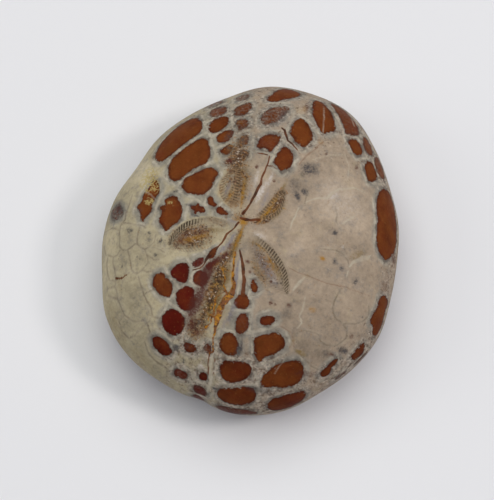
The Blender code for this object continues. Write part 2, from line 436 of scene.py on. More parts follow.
PALE_LINES = (
    Vein("front_left_rim", ((-4.2, -5.5), (-4.5, -6.1), (-4.85, -6.7), (-5.35, -7.3), (-5.5, -8),
         (-5.3, -8.8), (-4.7, -9.15), (-4, -9.1)), (.06, .08, .1, .13, .13, .13, .13, .08)),
    Vein("beside_furrow", ((-.3, -4.4), (.05, -5.3), (.4, -6.3), (.65, -7.3), (.8, -8.4)), (.1, .2, .24,
         .2, .1)),
    Vein("right_upright", ((4.3, 5), (4.3, 3.6), (4.2, 2.5), (4.3, 1.6)), (.05, .1, .09, .04)),
    Vein("right_arc", ((4.9, 6), (6, 7.1), (7.2, 7.7), (7.6, 8.6), (8.3, 9.6), (10, 10.7), (11.6, 10.8)),
         (.05, .1, .14, .18, .12, .08, .04)),
    Vein("right_slant", ((10.2, 5.3), (10.8, 6.2), (11.4, 7.2)), (.1, .12, .04)),
    Vein("right_vein", ((12.9, .5), (13.2, 1), (13.6, 1.6), (14.1, 2.2), (14.6, 2.6), (15, 3.2)), (.1,
         .18, .24, .28, .22, .08), .2),
    Vein("right_short", ((13, -.3), (13.1, -1)), (.12, .06)),
    Vein("front_fan", ((8.1, -3.3), (7.7, -4.2), (7.3, -5.4)), (.1, .22, .08)),
    Vein("front_arc", ((9, -5.6), (9.2, -6.9), (9.2, -8.1), (9.7, -8.8), (9.4, -9.6)), (.05, .1, .07, .1,
         .05)),
    Vein("right_upper", ((3.8, 12), (5.6, 13.6), (7.4, 14.6), (8.4, 13.2), (8.8, 11.4)), (.03, .05, .06,
         .05, .03)),
    Vein("hind_scratch", ((2.4, 20.4), (2.9, 19), (3.4, 17.4), (3.7, 16.2)), (.03, .05, .05, .03)),
    Vein("hind_scratch_2", ((6.3, 20.6), (7, 19.6)), (.03, .05)),
    Vein("front_scratch", ((9.2, -13.4), (8.6, -15.8)), (.025, .03)),
    Vein("thread_line", ((-16.2, 1.25), (-15.3, .9), (-14.4, .55), (-13.5, .05)), (.03, .06, .07, .04)),
    Vein("tail_band", ((.35, -16.3), (.45, -17.4), (.7, -18.4), (1.2, -19.5), (1, -20.6)), (.12, .22, .26,
         .22, .1)),
    Vein("glint", ((-.5, -12.9), (-.45, -13.4)), (.12, .1)),
    Vein("glint_2", ((.15, -9.6), (.4, -9.9)), (.12, .1)),
)

RED_LINES = (
    Vein("front_seam", ((5.9, -3), (7, -3.05), (8.5, -2.95), (10, -2.95), (11.5, -2.8), (12.7, -2.5),
         (13.3, -2.3), (14.5, -2.2), (15.5, -2), (16.6, -1.8)), (.04, .07, .09, .07, .08, .09, .07, .05,
         .05, .04)),
    Vein("hind_seam", ((4.2, 15), (3.5, 13.4), (2.8, 12), (2.4, 10.6)), (.05, .11, .11, .05)),
    Vein("low_seam", ((7.4, -10.2), (8.8, -10.4), (9.5, -11.2), (9.8, -12)), (.05, .08, .08, .05)),
)

# seams between bare plates, drawn one by one
SUTURES = (
    Vein("a_top", ((-16.9, -4.1), (-16.4, -3.65), (-15.2, -3.75), (-14, -3.7), (-13.4, -3.9)), (.05, .06,
         .05, .06, .03)),
    Vein("a_left", ((-16.9, -4.2), (-16.7, -5.2), (-16.3, -6.1), (-15.95, -6.9), (-15.5, -7.2),
         (-14.9, -7.2)), (.06, .05, .06, .06, .07, .05)),
    Vein("a_right", ((-14.2, -4), (-14.2, -4.9), (-14, -5.6), (-13.8, -6.1)), (.04, .07, .08, .08)),
    Vein("a_foot", ((-14.9, -7.2), (-14.5, -6.8), (-14.1, -6.2), (-13.8, -6.1), (-13.3, -6.45),
         (-12.6, -6.6), (-12.1, -6.2), (-11.7, -5.4), (-11.8, -4.4)), (.05, .07, .07, .09, .08, .07, .05,
         .03, .03)),
    Vein("b_right", ((-12.6, -6.6), (-11.9, -7.2), (-11.5, -8.1), (-11.9, -9.2), (-12.4, -9.75)), (.04,
         .05, .05, .06, .05)),
    Vein("b_foot", ((-14.7, -7.2), (-14.2, -8), (-13.7, -8.7), (-13.4, -9.4), (-12.9, -9.7),
         (-12.4, -9.75)), (.04, .07, .09, .08, .06, .05)),
    Vein("rim_column", ((-18.4, -6.7), (-17.6, -7.9), (-16.4, -8.15), (-16, -8), (-15.8, -7.3)), (.03,
         .05, .07, .05, .03)),
    Vein("rim_column_low", ((-16.4, -8.15), (-16.2, -8.9), (-15.8, -9.5), (-15.4, -10.2), (-15, -10.9),
         (-14.8, -11.7), (-15.8, -12.2)), (.05, .05, .06, .04, .05, .06, .04)),
    Vein("smoke_right", ((-16.9, -3.9), (-16.6, -3.3), (-16.8, -2.4), (-16.8, -1.2), (-16.9, .2)), (.05,
         .08, .05, .04, .02)),
    Vein("big_left", ((-14.8, -11.9), (-14.3, -12.5), (-13.9, -13.3), (-13.1, -14.1), (-12.4, -14.9),
         (-11.5, -15.3), (-10.4, -15.4), (-9.6, -15)), (.03, .05, .06, .06, .07, .07, .06, .04)),
    Vein("big_right", ((-12.1, -10.1), (-11.3, -11.2), (-10.7, -12), (-9.9, -12.8), (-9.2, -13.4),
         (-8.7, -14.2), (-8.9, -15), (-9.6, -15.9), (-10.2, -17)), (.04, .07, .08, .06, .06, .07, .05,
         .05, .03)),
    Vein("low_plates", ((-8.7, -14.4), (-7.9, -14.3), (-7.2, -14)), (.05, .06, .03)),
    Vein("low_arc", ((-9, -15.2), (-8.3, -16.2), (-8.6, -17.4), (-7.6, -18.6), (-6, -19.2), (-4.8, -19.4),
         (-4.6, -20.2)), (.04, .06, .05, .06, .06, .07, .04)),
    Vein("rim_upper", ((-18.9, -4.9), (-18, -4.5), (-17.2, -4.6), (-16.8, -4.9)), (.03, .06, .06, .03)),
    Vein("rim_split", ((-17.3, -7.9), (-17.1, -9), (-16.5, -10.2), (-15.9, -11.1), (-15, -11.2)), (.03,
         .06, .05, .06, .04)),
    Vein("c_right", ((-11.7, -7.3), (-10.8, -7.6), (-10.2, -7.4)), (.05, .06, .03)),
    Vein("c_foot", ((-11.9, -9.2), (-11.2, -9.3), (-10.4, -9)), (.05, .06, .03)),
    Vein("big_inner", ((-10.6, -12), (-9.9, -11.4), (-9.4, -10.7), (-9.5, -9.8)), (.05, .06, .06, .03)),
    Vein("big_low", ((-13.9, -13.3), (-14.6, -13.2), (-15.4, -12.9)), (.05, .06, .03)),
    Vein("low_column", ((-12.4, -14.9), (-12.8, -15.8), (-12, -16.8), (-10.8, -17.4), (-10.2, -17)), (.05,
         .06, .05, .06, .04)),
    Vein("small_dark", ((-11.7, -6.15), (-10.6, -6.1), (-9.9, -6.4)), (.04, .05, .03)),
    Vein("round_1", ((13, -2.7), (12.75, -3.5), (12.65, -4.4), (12.7, -5.3), (13, -6), (13.6, -6.5),
         (14.6, -6.6), (15.3, -7.2), (15.6, -7.9), (15.2, -8.9), (14.6, -9.6), (13.6, -10), (12.7, -9.9),
         (12.2, -9.3)), (.06, .07, .06, .07, .08, .07, .05, .05, .05, .05, .05, .06, .05, .03)),
    Vein("round_2", ((14.7, -6.6), (15.9, -6.1), (16.8, -5.3), (17.3, -4.1), (16.9, -3)), (.04, .05, .05,
         .04, .03)),
    Vein("upper_1", ((8.8, 1), (10.3, 1.55), (11.6, 1.65), (12.5, 1.1), (12.9, .4)), (.04, .06, .05, .05,
         .03)),
    Vein("upper_2", ((8.6, 7), (9.2, 6.2), (9.4, 5.2), (10.3, 4.4)), (.04, .06, .06, .03)),
    Vein("upper_3", ((4.6, 7.6), (4.9, 5.6), (4.5, 4.8)), (.04, .06, .03)),
    Vein("low_1", ((12.2, -9.2), (11.2, -9.3), (10.2, -9.6), (9.6, -10.2)), (.03, .05, .05, .03)),
    Vein("low_2", ((9.9, -12.2), (11.2, -12.6), (12.6, -13.1), (13.8, -13)), (.05, .06, .05, .04)),
)

# attribute, its lines, and the millimetres over which their edges fade
LINE_LAYERS = (
    ("crack", CRACKS, 0.06), ("crust", CRUSTS, 0.12), ("pale_line", PALE_LINES, 0.07),
    ("red_line", RED_LINES, 0.07), ("suture", SUTURES, 0.15),
)

# lighter and darker stretches of the stone's tone, with painted shade that darkens the front margin and
# the lower right
TONES_AND_PAINTED_SHADE = smudges(
    (-16.6, 3.6, 3.4, 2.4, 110, 1), (-17.6, -6, 2.6, 1, 112, .9), (-16.6, -10, 2.6, .9, 118, .7),
    (8.8, 8.6, 5.6, 4.2, 150, .62), (7.6, 5.6, 1.6, 1, 30, .5), (11.2, .6, 2.4, .8, 80, -.35),
    (6, .4, 2.4, .9, 60, .35), (9.6, -4.6, 1.6, .7, 60, .3), (6.8, -1.8, 2, .8, -20, -.3),
    (11.6, 9, 1.6, .8, 120, -.35), (.8, -.5, 1.4, .8, 0, .45), (5.2, 3, 2.2, 1.2, 110, .35),
    (12.6, 6.4, 2.6, 1.8, 100, .4), (14.8, -4.4, 1.9, 2.1, 0, .2), (12.2, -9.8, 3.4, 4.2, 0, -.3),
    (-.3, -10, 1, 4, 0, -.3), (-1.6, 6.8, 2, .8, 95, .5), (-14.8, -14.6, 4, .9, 128, .4),
    (4.4, 8.6, 3.2, 1.6, 70, -.75), (8, 4.6, 2.4, 1, 10, -.25), (-11.8, -12.9, 2.2, 1.4, 135, -.5),
    (-8.9, -5.9, 2.4, 1, 150, .3), (8, -7.6, 1.6, 2.6, 0, -.35), (11.4, -11.2, 2.4, 1.6, 0, -.3),
    (-1, -17, 5, 2, 0, -.45), (6, -15, 7, 5, 25, -.45), (-8.4, -17.6, 4, 1.6, 150, -.45),
    (-5.4, 12, 3, 5, 20, -.55), (-12.4, 1.8, 1.6, .9, 0, -.35), (-13.6, -7.6, 1.6, 1.4, 0, -.2),
    (2.2, -4.8, 4.6, 2, -42, -.3), (5, 12.6, 1.6, 1, 0, -.35),
)

THREADS = smudges(
    (-15.4, 2.6, 1.8, 1.1, 105, 1.1), (-14.3, -.3, .6, .5, 0, .9), (-14.2, 1.8, 1, .7, 120, .55),
    (-11.4, 0, .6, .4, 0, .4),
)

GRIT = smudges(
    (-3.9, 4.6, 1.7, 3.8, 12, .85), (-5.6, 8.6, 1.5, 2.2, 20, .75), (-7.4, -3, 3.2, 1.5, 32, 1),
    (-6.2, -3.9, 2.6, 1, 32, .5), (1.3, 3.6, .9, 2.8, -18, .9), (.4, 1.6, 1.2, .5, 30, .6),
    (2.6, -3.2, 3.6, 1.2, -42, .65), (2.6, -5.2, 2.2, .6, -40, .55), (-5, -.4, 1.6, .4, -8, .6),
    (4.4, -2.9, 2.4, .7, -42, .35), (-2.3, -9, 4.8, 1.2, 86, 1.1), (-5.8, 10.8, 1.5, 2.4, 20, .5),
    (-2.4, -4.9, 1.8, .7, 66, .6), (-1.6, -1.4, 1.8, .5, 87, .6), (-1.9, .9, 1.1, .7, 0, .5),
    (-2.8, -14.2, 1.8, 1.3, 0, .7), (1.4, 5.9, .8, 1.4, -10, .5),
)

SQUIGGLES = smudges(
    (-2, -7.8, 2, .75, 86, 1), (-1.9, -10.4, 1.9, .75, 88, 1), (-2.6, -13.3, .9, .7, 60, .8),
    (-1.7, -3.4, 1.2, .3, 86, .4),
)


class Stain(Enum):
    """Names of the stains that are kept as point attributes."""

    GOLD = "gold"
    OCHRE = "ochre"
    RUST = "rust"
    LILAC = "lilac"
    SMOKE = "smoke"
    CHALK = "chalk"


STAINS = {
    Stain.GOLD: smudges(
        (-1.7, .55, .6, .5, 0, .9), (-1.5, -1.5, 2.2, .22, 87, .7), (-1.05, -4.6, 1.7, .2, 106, .8),
        (.65, 2.9, 1.5, .34, 74, 1.2), (1, 4.6, 1.1, .34, 72, 1), (-3, 4, 2.4, .26, 103, .55),
        (-.4, -6.9, 1.4, .24, 114, .9), (9.4, -.1, .46, .36, 0, .8), (10.4, -6.7, .55, .42, 0, .55),
        (2.5, 4.15, .7, .09, 0, .7), (.5, 1.9, .6, .2, 40, .8), (1.6, 3.4, .35, 1, -25, .5),
        (1.7, -1.7, 1, .3, -20, .45), (3.4, -3, 1.6, .18, -42, .5), (-2.3, -8.4, .8, .3, 60, .5),
        (-1.9, -11, .6, .4, 80, .5), (-2.6, .6, .6, .25, 20, .45), (-4.45, 3.3, .3, 1.3, -14, .6),
        (-5.9, 3.7, .3, 1.1, 0, .45), (-7, -3.6, 1.8, .4, 32, .55), (-6, -2.9, 1.2, .3, 30, .45),
        (-2, -6, .4, .3, 0, .7), (-1.5, -12, .5, .25, 0, .5), (.2, 18.8, .5, .8, 0, .35),
        (3.9, 14.8, .4, .4, 0, .45), (-6.9, 13.7, .5, .3, 30, .35),
    ),
    Stain.OCHRE: smudges(
        (-1.8, -7.4, 2.2, 1.05, 86, 1.1), (-1.7, -10.6, 2.4, .95, 88, 1.1),
        (-3.2, 5.2, 2.6, .45, 103, .8), (-5.6, -2, 2.4, .4, 22, .6), (1.3, -1.7, 1.6, .5, -15, .5),
        (-1.5, -2.4, 2.4, .42, 88, .9), (2, 3.4, 1.8, .6, 70, .6), (4.6, -3.6, 2.2, .5, -42, .6),
        (2, -4.6, 1.4, .5, -40, .5), (-4.9, 7.6, 1.8, .9, 100, .4), (1.5, 6.4, 1.4, .3, 80, .6),
        (-4.2, 6.9, .6, .45, 60, .9), (2.2, -5, 2.2, .35, -38, .45), (13.4, 2.4, 1.4, .5, 50, .55),
        (10.8, -12.2, .9, .35, 0, .7), (9.4, -11.2, .3, .9, 0, .4), (4.2, -3.9, 2.4, .2, -42, .6),
        (-16.4, 6, .5, .9, 20, .4), (-13.2, -16.2, 4.6, 1, 130, .32), (-8.6, -19.2, 2.4, .7, 152, .3),
        (-14.4, -11.4, 1.4, .3, 120, .3), (-15.1, 3, .9, .8, 0, .6), (1.6, 7.6, .25, .7, 0, .4),
        (.6, -17.8, .8, .35, 100, .45), (-4.6, 3.9, .2, .8, 0, .6),
    ),
    Stain.RUST: smudges(
        (-8.2, -4.1, 1.5, .8, 40, .62), (-6.4, -2.5, 1.8, .4, 32, .55), (-8.7, -5, .9, .5, 60, .5),
        (-3.8, -7.6, 2, .8, 86, 1.2), (-3.8, -11, 2.8, .8, 86, 1.1), (-3.3, -5.4, 1.2, .45, 52, .95),
        (-2.5, -4.4, 1, .32, 66, .9), (-3.5, -13.6, 1.2, .8, 88, .75), (-2.2, -3.1, .8, .28, 84, .7),
        (-2.4, -14.6, 1, .6, 0, .65), (-1.6, -13.6, .35, .3, 0, .8), (-2.05, 1.8, .28, .35, 0, .9),
        (.65, -4.1, .3, .3, 0, .8), (5.15, -7.95, .24, .32, 0, .9), (5.75, -7.95, .18, .2, 0, .8),
        (7.45, -7.4, .34, .32, 0, .75), (1.35, -5.2, .28, .25, 0, .7), (4.3, -5.4, .22, .2, 0, .8),
        (2.3, -5.9, .3, .25, 0, .5), (-6.2, 7.9, .5, .45, 0, .85), (-5.6, 6.6, .25, .35, 0, .8),
        (-2.6, 8.3, .28, .35, 0, .9), (.15, 7.2, .26, .24, 0, .75), (-4.55, 5.4, .22, .4, 0, .8),
        (-4.6, 3.5, .22, .3, 0, .6), (9.3, 13.6, .25, .35, 0, .8), (5.1, 13.5, .22, .22, 0, .7),
        (16.1, -7.6, .3, .34, 0, .7), (14.5, -10.7, .6, .25, 20, .6), (-18.2, -1.7, .4, .9, 10, .6),
        (-14.9, -10.8, .3, .25, 0, .7), (2, 5, .3, .5, 0, .5), (.4, 19.3, .4, 1, 10, .6),
        (17.8, 4.6, .4, .9, 10, .6), (17.9, .6, .5, 1.4, 0, .4), (12.2, -14.2, 1.8, .5, 25, .5),
        (-.6, -15.6, .35, .35, 0, .6),
    ),
    Stain.LILAC: smudges(
        (-7.4, -2.6, 2.4, .3, 36, .9), (2.9, -3.9, 2.9, .55, -38, .9), (-5.1, 4.6, .3, 1.6, 0, .8),
        (-2.3, -2.2, 1.4, .28, 80, .8), (-2.9, -3.6, 1, .32, 66, .8), (-3, .2, .8, .35, 0, .6),
        (2, 3.4, .5, .9, -20, .5), (4.6, -5.4, 1, .5, -30, .6), (-2.1, 4.2, .22, 1, 0, .6),
        (-.1, 4.4, .45, 2, 0, .45), (-.1, -6, 2.4, .32, 100, .9), (-3.4, -10.1, .35, .9, 0, .7),
        (-2.5, -13.1, .5, .4, 0, .9), (.9, -1.9, 1.2, .5, -30, .4), (.9, -10.9, .35, 1.4, 0, .8),
        (.5, -12.4, .3, 1.2, 0, .6),
    ),
    Stain.SMOKE: smudges(
        (-18.1, -1.9, 1.5, .9, 100, .5), (-17.6, -3.2, .7, .6, 0, .4), (4.3, 7.3, .6, .45, -30, .85),
        (3.6, 6.4, .8, .4, -40, .85), (3.2, 7.4, 1.3, 1.2, 0, .4), (3.8, 10.5, 1.3, 1, 20, .75),
        (5.5, 4.9, .6, .3, 0, .3), (2.6, 8, .8, .6, 0, .5), (3.2, 9.4, .6, .5, 0, .45),
        (9.75, 3.75, .42, .36, 0, 1), (9.5, 3.8, 1, .7, 0, .42), (12.1, -.25, .26, .26, 0, 1),
        (12.1, -.25, .7, .6, 0, .35), (11, .2, .24, .26, 0, .9), (11, .2, .6, .6, 0, .38),
        (14.3, -1, .22, .46, 0, .95), (14.2, -1.1, .5, .9, 0, .4), (12.7, 3.1, .35, .35, 0, .5),
        (11.6, 4.9, .2, .3, 0, .45), (1, -11.2, .7, 1.4, 0, .4), (3.35, -14.5, .4, 1.3, 0, .8),
        (-15.4, -4.6, .55, .35, 0, .75), (-15.2, -5.3, .6, .5, 0, .35), (-12.75, -4.4, .28, .24, 0, .85),
        (-12.5, -5.3, .6, .7, 0, .42), (-10.95, -5, .28, .34, 0, 1), (-10.8, -5.2, .8, .8, 0, .4),
        (-10.95, -6.95, .28, .26, 0, .9), (-10.8, -7, .8, .6, 0, .25), (-12.9, -7.8, .7, .7, 0, .38),
        (-13.2, -7.8, .2, .2, 0, .6), (-14.7, -9.3, .18, .18, 0, .95), (-14.6, -8.8, .7, .7, 0, .3),
        (-11.1, -13.5, .7, .7, 0, .38), (-11.5, -12, 1.4, 1.4, 0, .22), (-11.6, -15.9, 1, .6, -30, .35),
        (-12.6, -14.6, .5, .4, 0, .3), (15.7, -9.6, .75, .42, 15, .95), (13.7, -11, .8, .7, 0, .4),
        (16.6, -4.7, .25, .3, 0, .5), (8.2, -5.3, .6, .4, 0, .45), (7.4, -8.4, .9, .9, 0, .35),
        (7.9, -4.1, .3, .7, -15, .3), (-9.1, .45, .5, .2, 0, .85), (-7.7, -.6, .8, .16, 0, .6),
        (-11.4, 1.8, .5, .25, 20, .7), (-12.3, .9, .5, .4, 0, .35), (-15.2, -1.9, .7, .5, 30, .35),
        (-7.4, 19.6, 1.2, .7, 20, .4), (-5, 9.4, .5, .5, 0, .9), (-10.4, 15.6, .8, .4, 45, .45),
        (-7.6, 11.2, .5, 1.2, -10, .5), (7.6, -18.2, 1.8, .4, 12, .5), (-4.9, 7.7, .35, .35, 0, .8),
        (-5.6, 11.2, .35, .45, 0, .7), (-7, 9.6, .3, .3, 0, .6), (-2, 16.4, .6, 1.6, 0, .55),
        (-3.8, 5.4, .3, .9, 10, .7), (-4.4, 6.9, .3, .3, 0, .7), (-3, -16.4, .9, .35, 0, .35),
        (-4.4, -17, .6, .5, 0, .85), (-3, -18.1, .35, .3, 0, .8), (-.5, -17.5, .5, .4, 0, .45),
        (-1.9, -9.4, .26, .22, 0, 1.2), (-2.45, -11.6, .32, .26, 0, 1.2), (-1.9, -7.9, .16, .14, 0, 1),
        (-1.45, -1, .2, .16, 0, .9), (-1.75, -2, .16, .4, 0, .7), (5.55, -5.15, .18, .16, 0, 1),
        (5.1, -5.3, .12, .12, 0, .9), (5.6, -4.5, .3, .25, 0, .6), (1.9, -19.9, .5, .2, 0, .8),
        (-1.5, 1.1, .9, .18, 10, .5),
    ),
    Stain.CHALK: smudges(
        (9, 8, 4.6, 3.4, 150, .3), (13, .4, 2.4, 2.6, 0, .16), (5.8, -.6, 2.4, 1.2, 60, .18),
        (-16.9, 4.2, 2.8, 1.4, 105, .22), (-2.1, 6.8, .35, 1.6, 6, .5), (-.85, 5.2, .36, 1.9, -6, .7),
        (-1.15, 4.9, .2, .7, 0, .9), (-.4, 7.2, .3, 1.2, 0, .6), (.9, -.4, 1, .5, 0, .55),
        (-2.3, -12.1, .4, .2, 0, .8), (-.7, -18.1, .4, .3, 0, .7), (8, 8.4, .35, .9, -25, .6),
        (4.6, -5.2, .5, .25, 0, .6), (11.3, 2.5, .2, .16, 0, .8),
    ),
}


# ---------------------------------------------------------------- plates and fillings

@dataclass(frozen=True)
class Border:
    """Line between two columns: angles in degrees at given reaches, and its zigzag."""

    reaches: tuple[float, ...]
    angles: tuple[float, ...]
    zigzag: float = 0.0

    def angle_at(self, reach: np.ndarray, angle_scale: np.ndarray, own_seams: np.ndarray,
                 next_seams: np.ndarray) -> np.ndarray:
        """Angle of the border at each reach.

        Args:
            reach: reaches to look up.
            angle_scale: millimetres per degree there.
            own_seams: reaches of the seams that meet the border from the lower angles.
            next_seams: reaches of the seams that meet it from the higher angles.

        Returns:
            Angles in degrees.
        """
        knots = np.concatenate([own_seams, next_seams])
        sways = np.concatenate([np.full(len(own_seams), 1.0), np.full(len(next_seams), -1.0)])
        order = np.argsort(knots)
        sway = np.interp(reach, knots[order], sways[order])
        line = np.interp(reach, self.reaches, self.angles)
        return line + self.zigzag * sway / np.maximum(angle_scale, 0.05)


@dataclass(frozen=True)
class Filling:
    """Jasper that fills a plate, outlined by (angle, reach) points on a smooth closed curve.

    redness runs from 0, orange brown, to 1, maroon; haze from 0 to 1 fades it to grey.
    A flat one, near the crown, has plan positions in millimetres for its points.
    """

    redness: float
    points: tuple[tuple[float, float], ...]
    haze: float = 0.0
    flat: bool = False
    steps: int = 4

    def curve(self) -> np.ndarray:
        """Points of the closed curve."""
        knots = np.array(self.points)
        part = (np.arange(self.steps) / self.steps)[:, None, None]
        a, b, c, d = (np.roll(knots, -step, axis=0) for step in (-1, 0, 1, 2))
        bend = (2 * a - 5 * b + 4 * c - d) * part ** 2 + (3 * b - a - 3 * c + d) * part ** 3
        curve = b + 0.5 * ((c - a) * part + bend)
        return curve.transpose(1, 0, 2).reshape(-1, 2)

    def depth(self, angle: np.ndarray, reach: np.ndarray, angle_scale: np.ndarray,
              reach_scale: np.ndarray) -> np.ndarray:
        """Millimetres into the filling at each point, negative outside it."""
        curve = self.curve()
        nearest = np.full(len(angle), 1e9)
        inside = np.zeros(len(angle), dtype=bool)
        for head, tail in zip(curve, np.roll(curve, -1, axis=0)):
            hx, hy = (head[0] - angle) * angle_scale, (head[1] - reach) * reach_scale
            tx, ty = (tail[0] - angle) * angle_scale, (tail[1] - reach) * reach_scale
            rx, ry = tx - hx, ty - hy
            part = np.clip(-(hx * rx + hy * ry) / (rx * rx + ry * ry), 0.0, 1.0)
            nearest = np.minimum(nearest, np.hypot(hx + part * rx, hy + part * ry))
            crosses = (hy > 0.0) != (ty > 0.0)
            level = np.where(ry == 0.0, 1.0, ry)
            inside ^= crosses & (hx - hy * rx / level > 0.0)
        return np.where(inside, nearest, -nearest)


@dataclass
class PlateFields:
    """What the plates and fillings give each point."""

    fill: np.ndarray
    redness: np.ndarray
    haze: np.ndarray
    column_seam: np.ndarray
    row_seam: np.ndarray
    shade: np.ndarray


BORDERS = (
    Border((.1, .3, .5, .8, 1, 2), (5, 8, 10, 10, 10, 10), .18),
    Border((.05, .13, .2, .35, .6, 1, 2), (20, 28, 38, 45, 45, 46, 46), .1),
    Border((.1, .3, .6, 1, 2), (50, 55, 56.2, 56.8, 56), .15),
    Border((.05, .2, .3, .4, .47, .6, .7, 1, 2), (66, 70.5, 71.3, 73.6, 71.3, 68.5, 65.3, 65.6, 68), .1),
    Border((.05, .15, .25, .4, .6, 2), (80, 85.5, 87.3, 88.7, 89.3, 90), .18),
    Border((.03, .08, .15, .3, .5, .7, 2), (95, 100, 104, 104.6, 106.2, 105, 106), .1),
    Border((.1, .3, .5, 1, 2), (120, 116.5, 117.6, 117.4, 118), .15),
    Border((.03, .08, .12, .18, .3, .6, 2), (152, 147, 141, 134, 130.6, 130.8, 130), .1),
    Border((.04, .09, .11, .16, .22, .3, .36, .45, .55, .65, 2), (163, 165, 174, 175, 173.5, 172, 169,
           166.5, 162.5, 161, 162), .1),
    Border((.05, .1, .15, .2, .25, .3, .35, .45, .6, 2), (195, 192, 193, 196, 202, 206, 203.5, 197.5, 195,
           194), .18),
    Border((.2, .33, .5, .8, 2), (214, 212, 207.6, 206.4, 208), .24),
    Border((.05, .1, .2, .25, .3, .35, .6, .8, 2), (236, 241, 236, 231, 225, 222.5, 221, 219, 221), .18),
    Border((.1, .2, .28, .36, .42, .5, .7, 1, 2), (248, 247, 246, 244.2, 244, 244.8, 243.5, 242, 243),
           .2),
    Border((.1, .2, .3, .45, .8, 2), (262, 261, 259, 258.6, 258.2, 258), .15),
    Border((.2, .3, .5, .8, 2), (268.5, 268, 267.6, 267, 267), .15),
    Border((.1, .2, .28, .35, .45, .8, 2), (282, 284, 280, 277, 275.4, 275.2, 276), .15),
    Border((.1, .2, .3, .4, .5, .7, 2), (296, 295.2, 295.4, 292.6, 291.4, 292.4, 292.5), .18),
    Border((.1, .15, .2, .25, .3, .4, .5, .65, 2), (300, 302, 305, 309, 313, 311.6, 310.6, 313, 313),
           .15),
    Border((.2, .4, 1, 2), (325, 325.4, 325.4, 325), .2),
    Border((.05, .1, .2, .3, .4, .6, 2), (345, 347, 340, 334.5, 335, 336.2, 337), .2),
)

# reach of each column's seams at its two borders, from the crown down
SEAMS = (
    ((0.22, 0.22), (0.34, 0.34), (0.47, 0.48), (0.625, 0.625), (0.90, 0.90)),
    ((0.30, 0.30), (0.40, 0.40), (0.51, 0.51), (0.625, 0.62), (0.755, 0.755), (0.885, 0.885)),
    ((0.28, 0.28), (0.38, 0.38), (0.49, 0.49), (0.597, 0.595), (0.708, 0.71), (0.845, 0.85)),
    ((0.205, 0.205), (0.335, 0.350), (0.465, 0.535), (0.600, 0.775), (0.815, 0.97)),
    ((0.262, 0.258), (0.392, 0.372), (0.620, 0.548), (0.85, 0.80)),
    ((0.222, 0.222), (0.283, 0.281), (0.376, 0.372), (0.481, 0.477), (0.613, 0.600), (0.762, 0.75)),
    ((0.214, 0.214), (0.260, 0.262), (0.337, 0.338), (0.426, 0.424), (0.552, 0.556), (0.698, 0.69),
     (0.87, 0.87)),
    ((0.100, 0.096), (0.185, 0.160), (0.268, 0.340), (0.468, 0.485), (0.735, 0.700), (0.92, 0.92)),
    ((0.048, 0.048), (0.106, 0.110), (0.222, 0.218), (0.385, 0.385), (0.540, 0.535), (0.84, 0.84)),
    ((0.33, 0.33), (0.405, 0.40), (0.485, 0.48), (0.63, 0.62), (0.80, 0.79)),
    ((0.32, 0.32), (0.37, 0.37), (0.435, 0.435), (0.505, 0.50), (0.585, 0.58), (0.70, 0.69), (0.84, 0.84)),
    ((0.168, 0.168), (0.236, 0.236), (0.342, 0.342), (0.452, 0.452), (0.672, 0.678), (0.87, 0.87)),
    ((0.185, 0.185), (0.288, 0.290), (0.425, 0.420), (0.578, 0.580), (0.715, 0.705), (0.9, 0.9)),
    ((0.505, 0.505), (0.607, 0.603), (0.695, 0.69), (0.82, 0.81), (0.95, 0.94)),
    ((0.480, 0.480), (0.575, 0.575), (0.655, 0.650), (0.765, 0.755), (0.912, 0.91)),
    ((0.232, 0.232), (0.322, 0.318), (0.413, 0.413), (0.537, 0.530), (0.690, 0.668), (0.872, 0.862)),
    ((0.195, 0.195), (0.265, 0.265), (0.335, 0.340), (0.408, 0.406), (0.565, 0.545), (0.767, 0.765)),
    ((0.33, 0.33), (0.43, 0.43), (0.53, 0.53), (0.62, 0.62), (0.715, 0.71), (0.84, 0.84)),
    ((0.33, 0.33), (0.40, 0.40), (0.49, 0.49), (0.58, 0.58), (0.665, 0.665), (0.785, 0.785),
     (0.912, 0.912)),
    ((0.22, 0.22), (0.36, 0.36), (0.50, 0.50), (0.72, 0.72), (0.94, 0.94)),
)

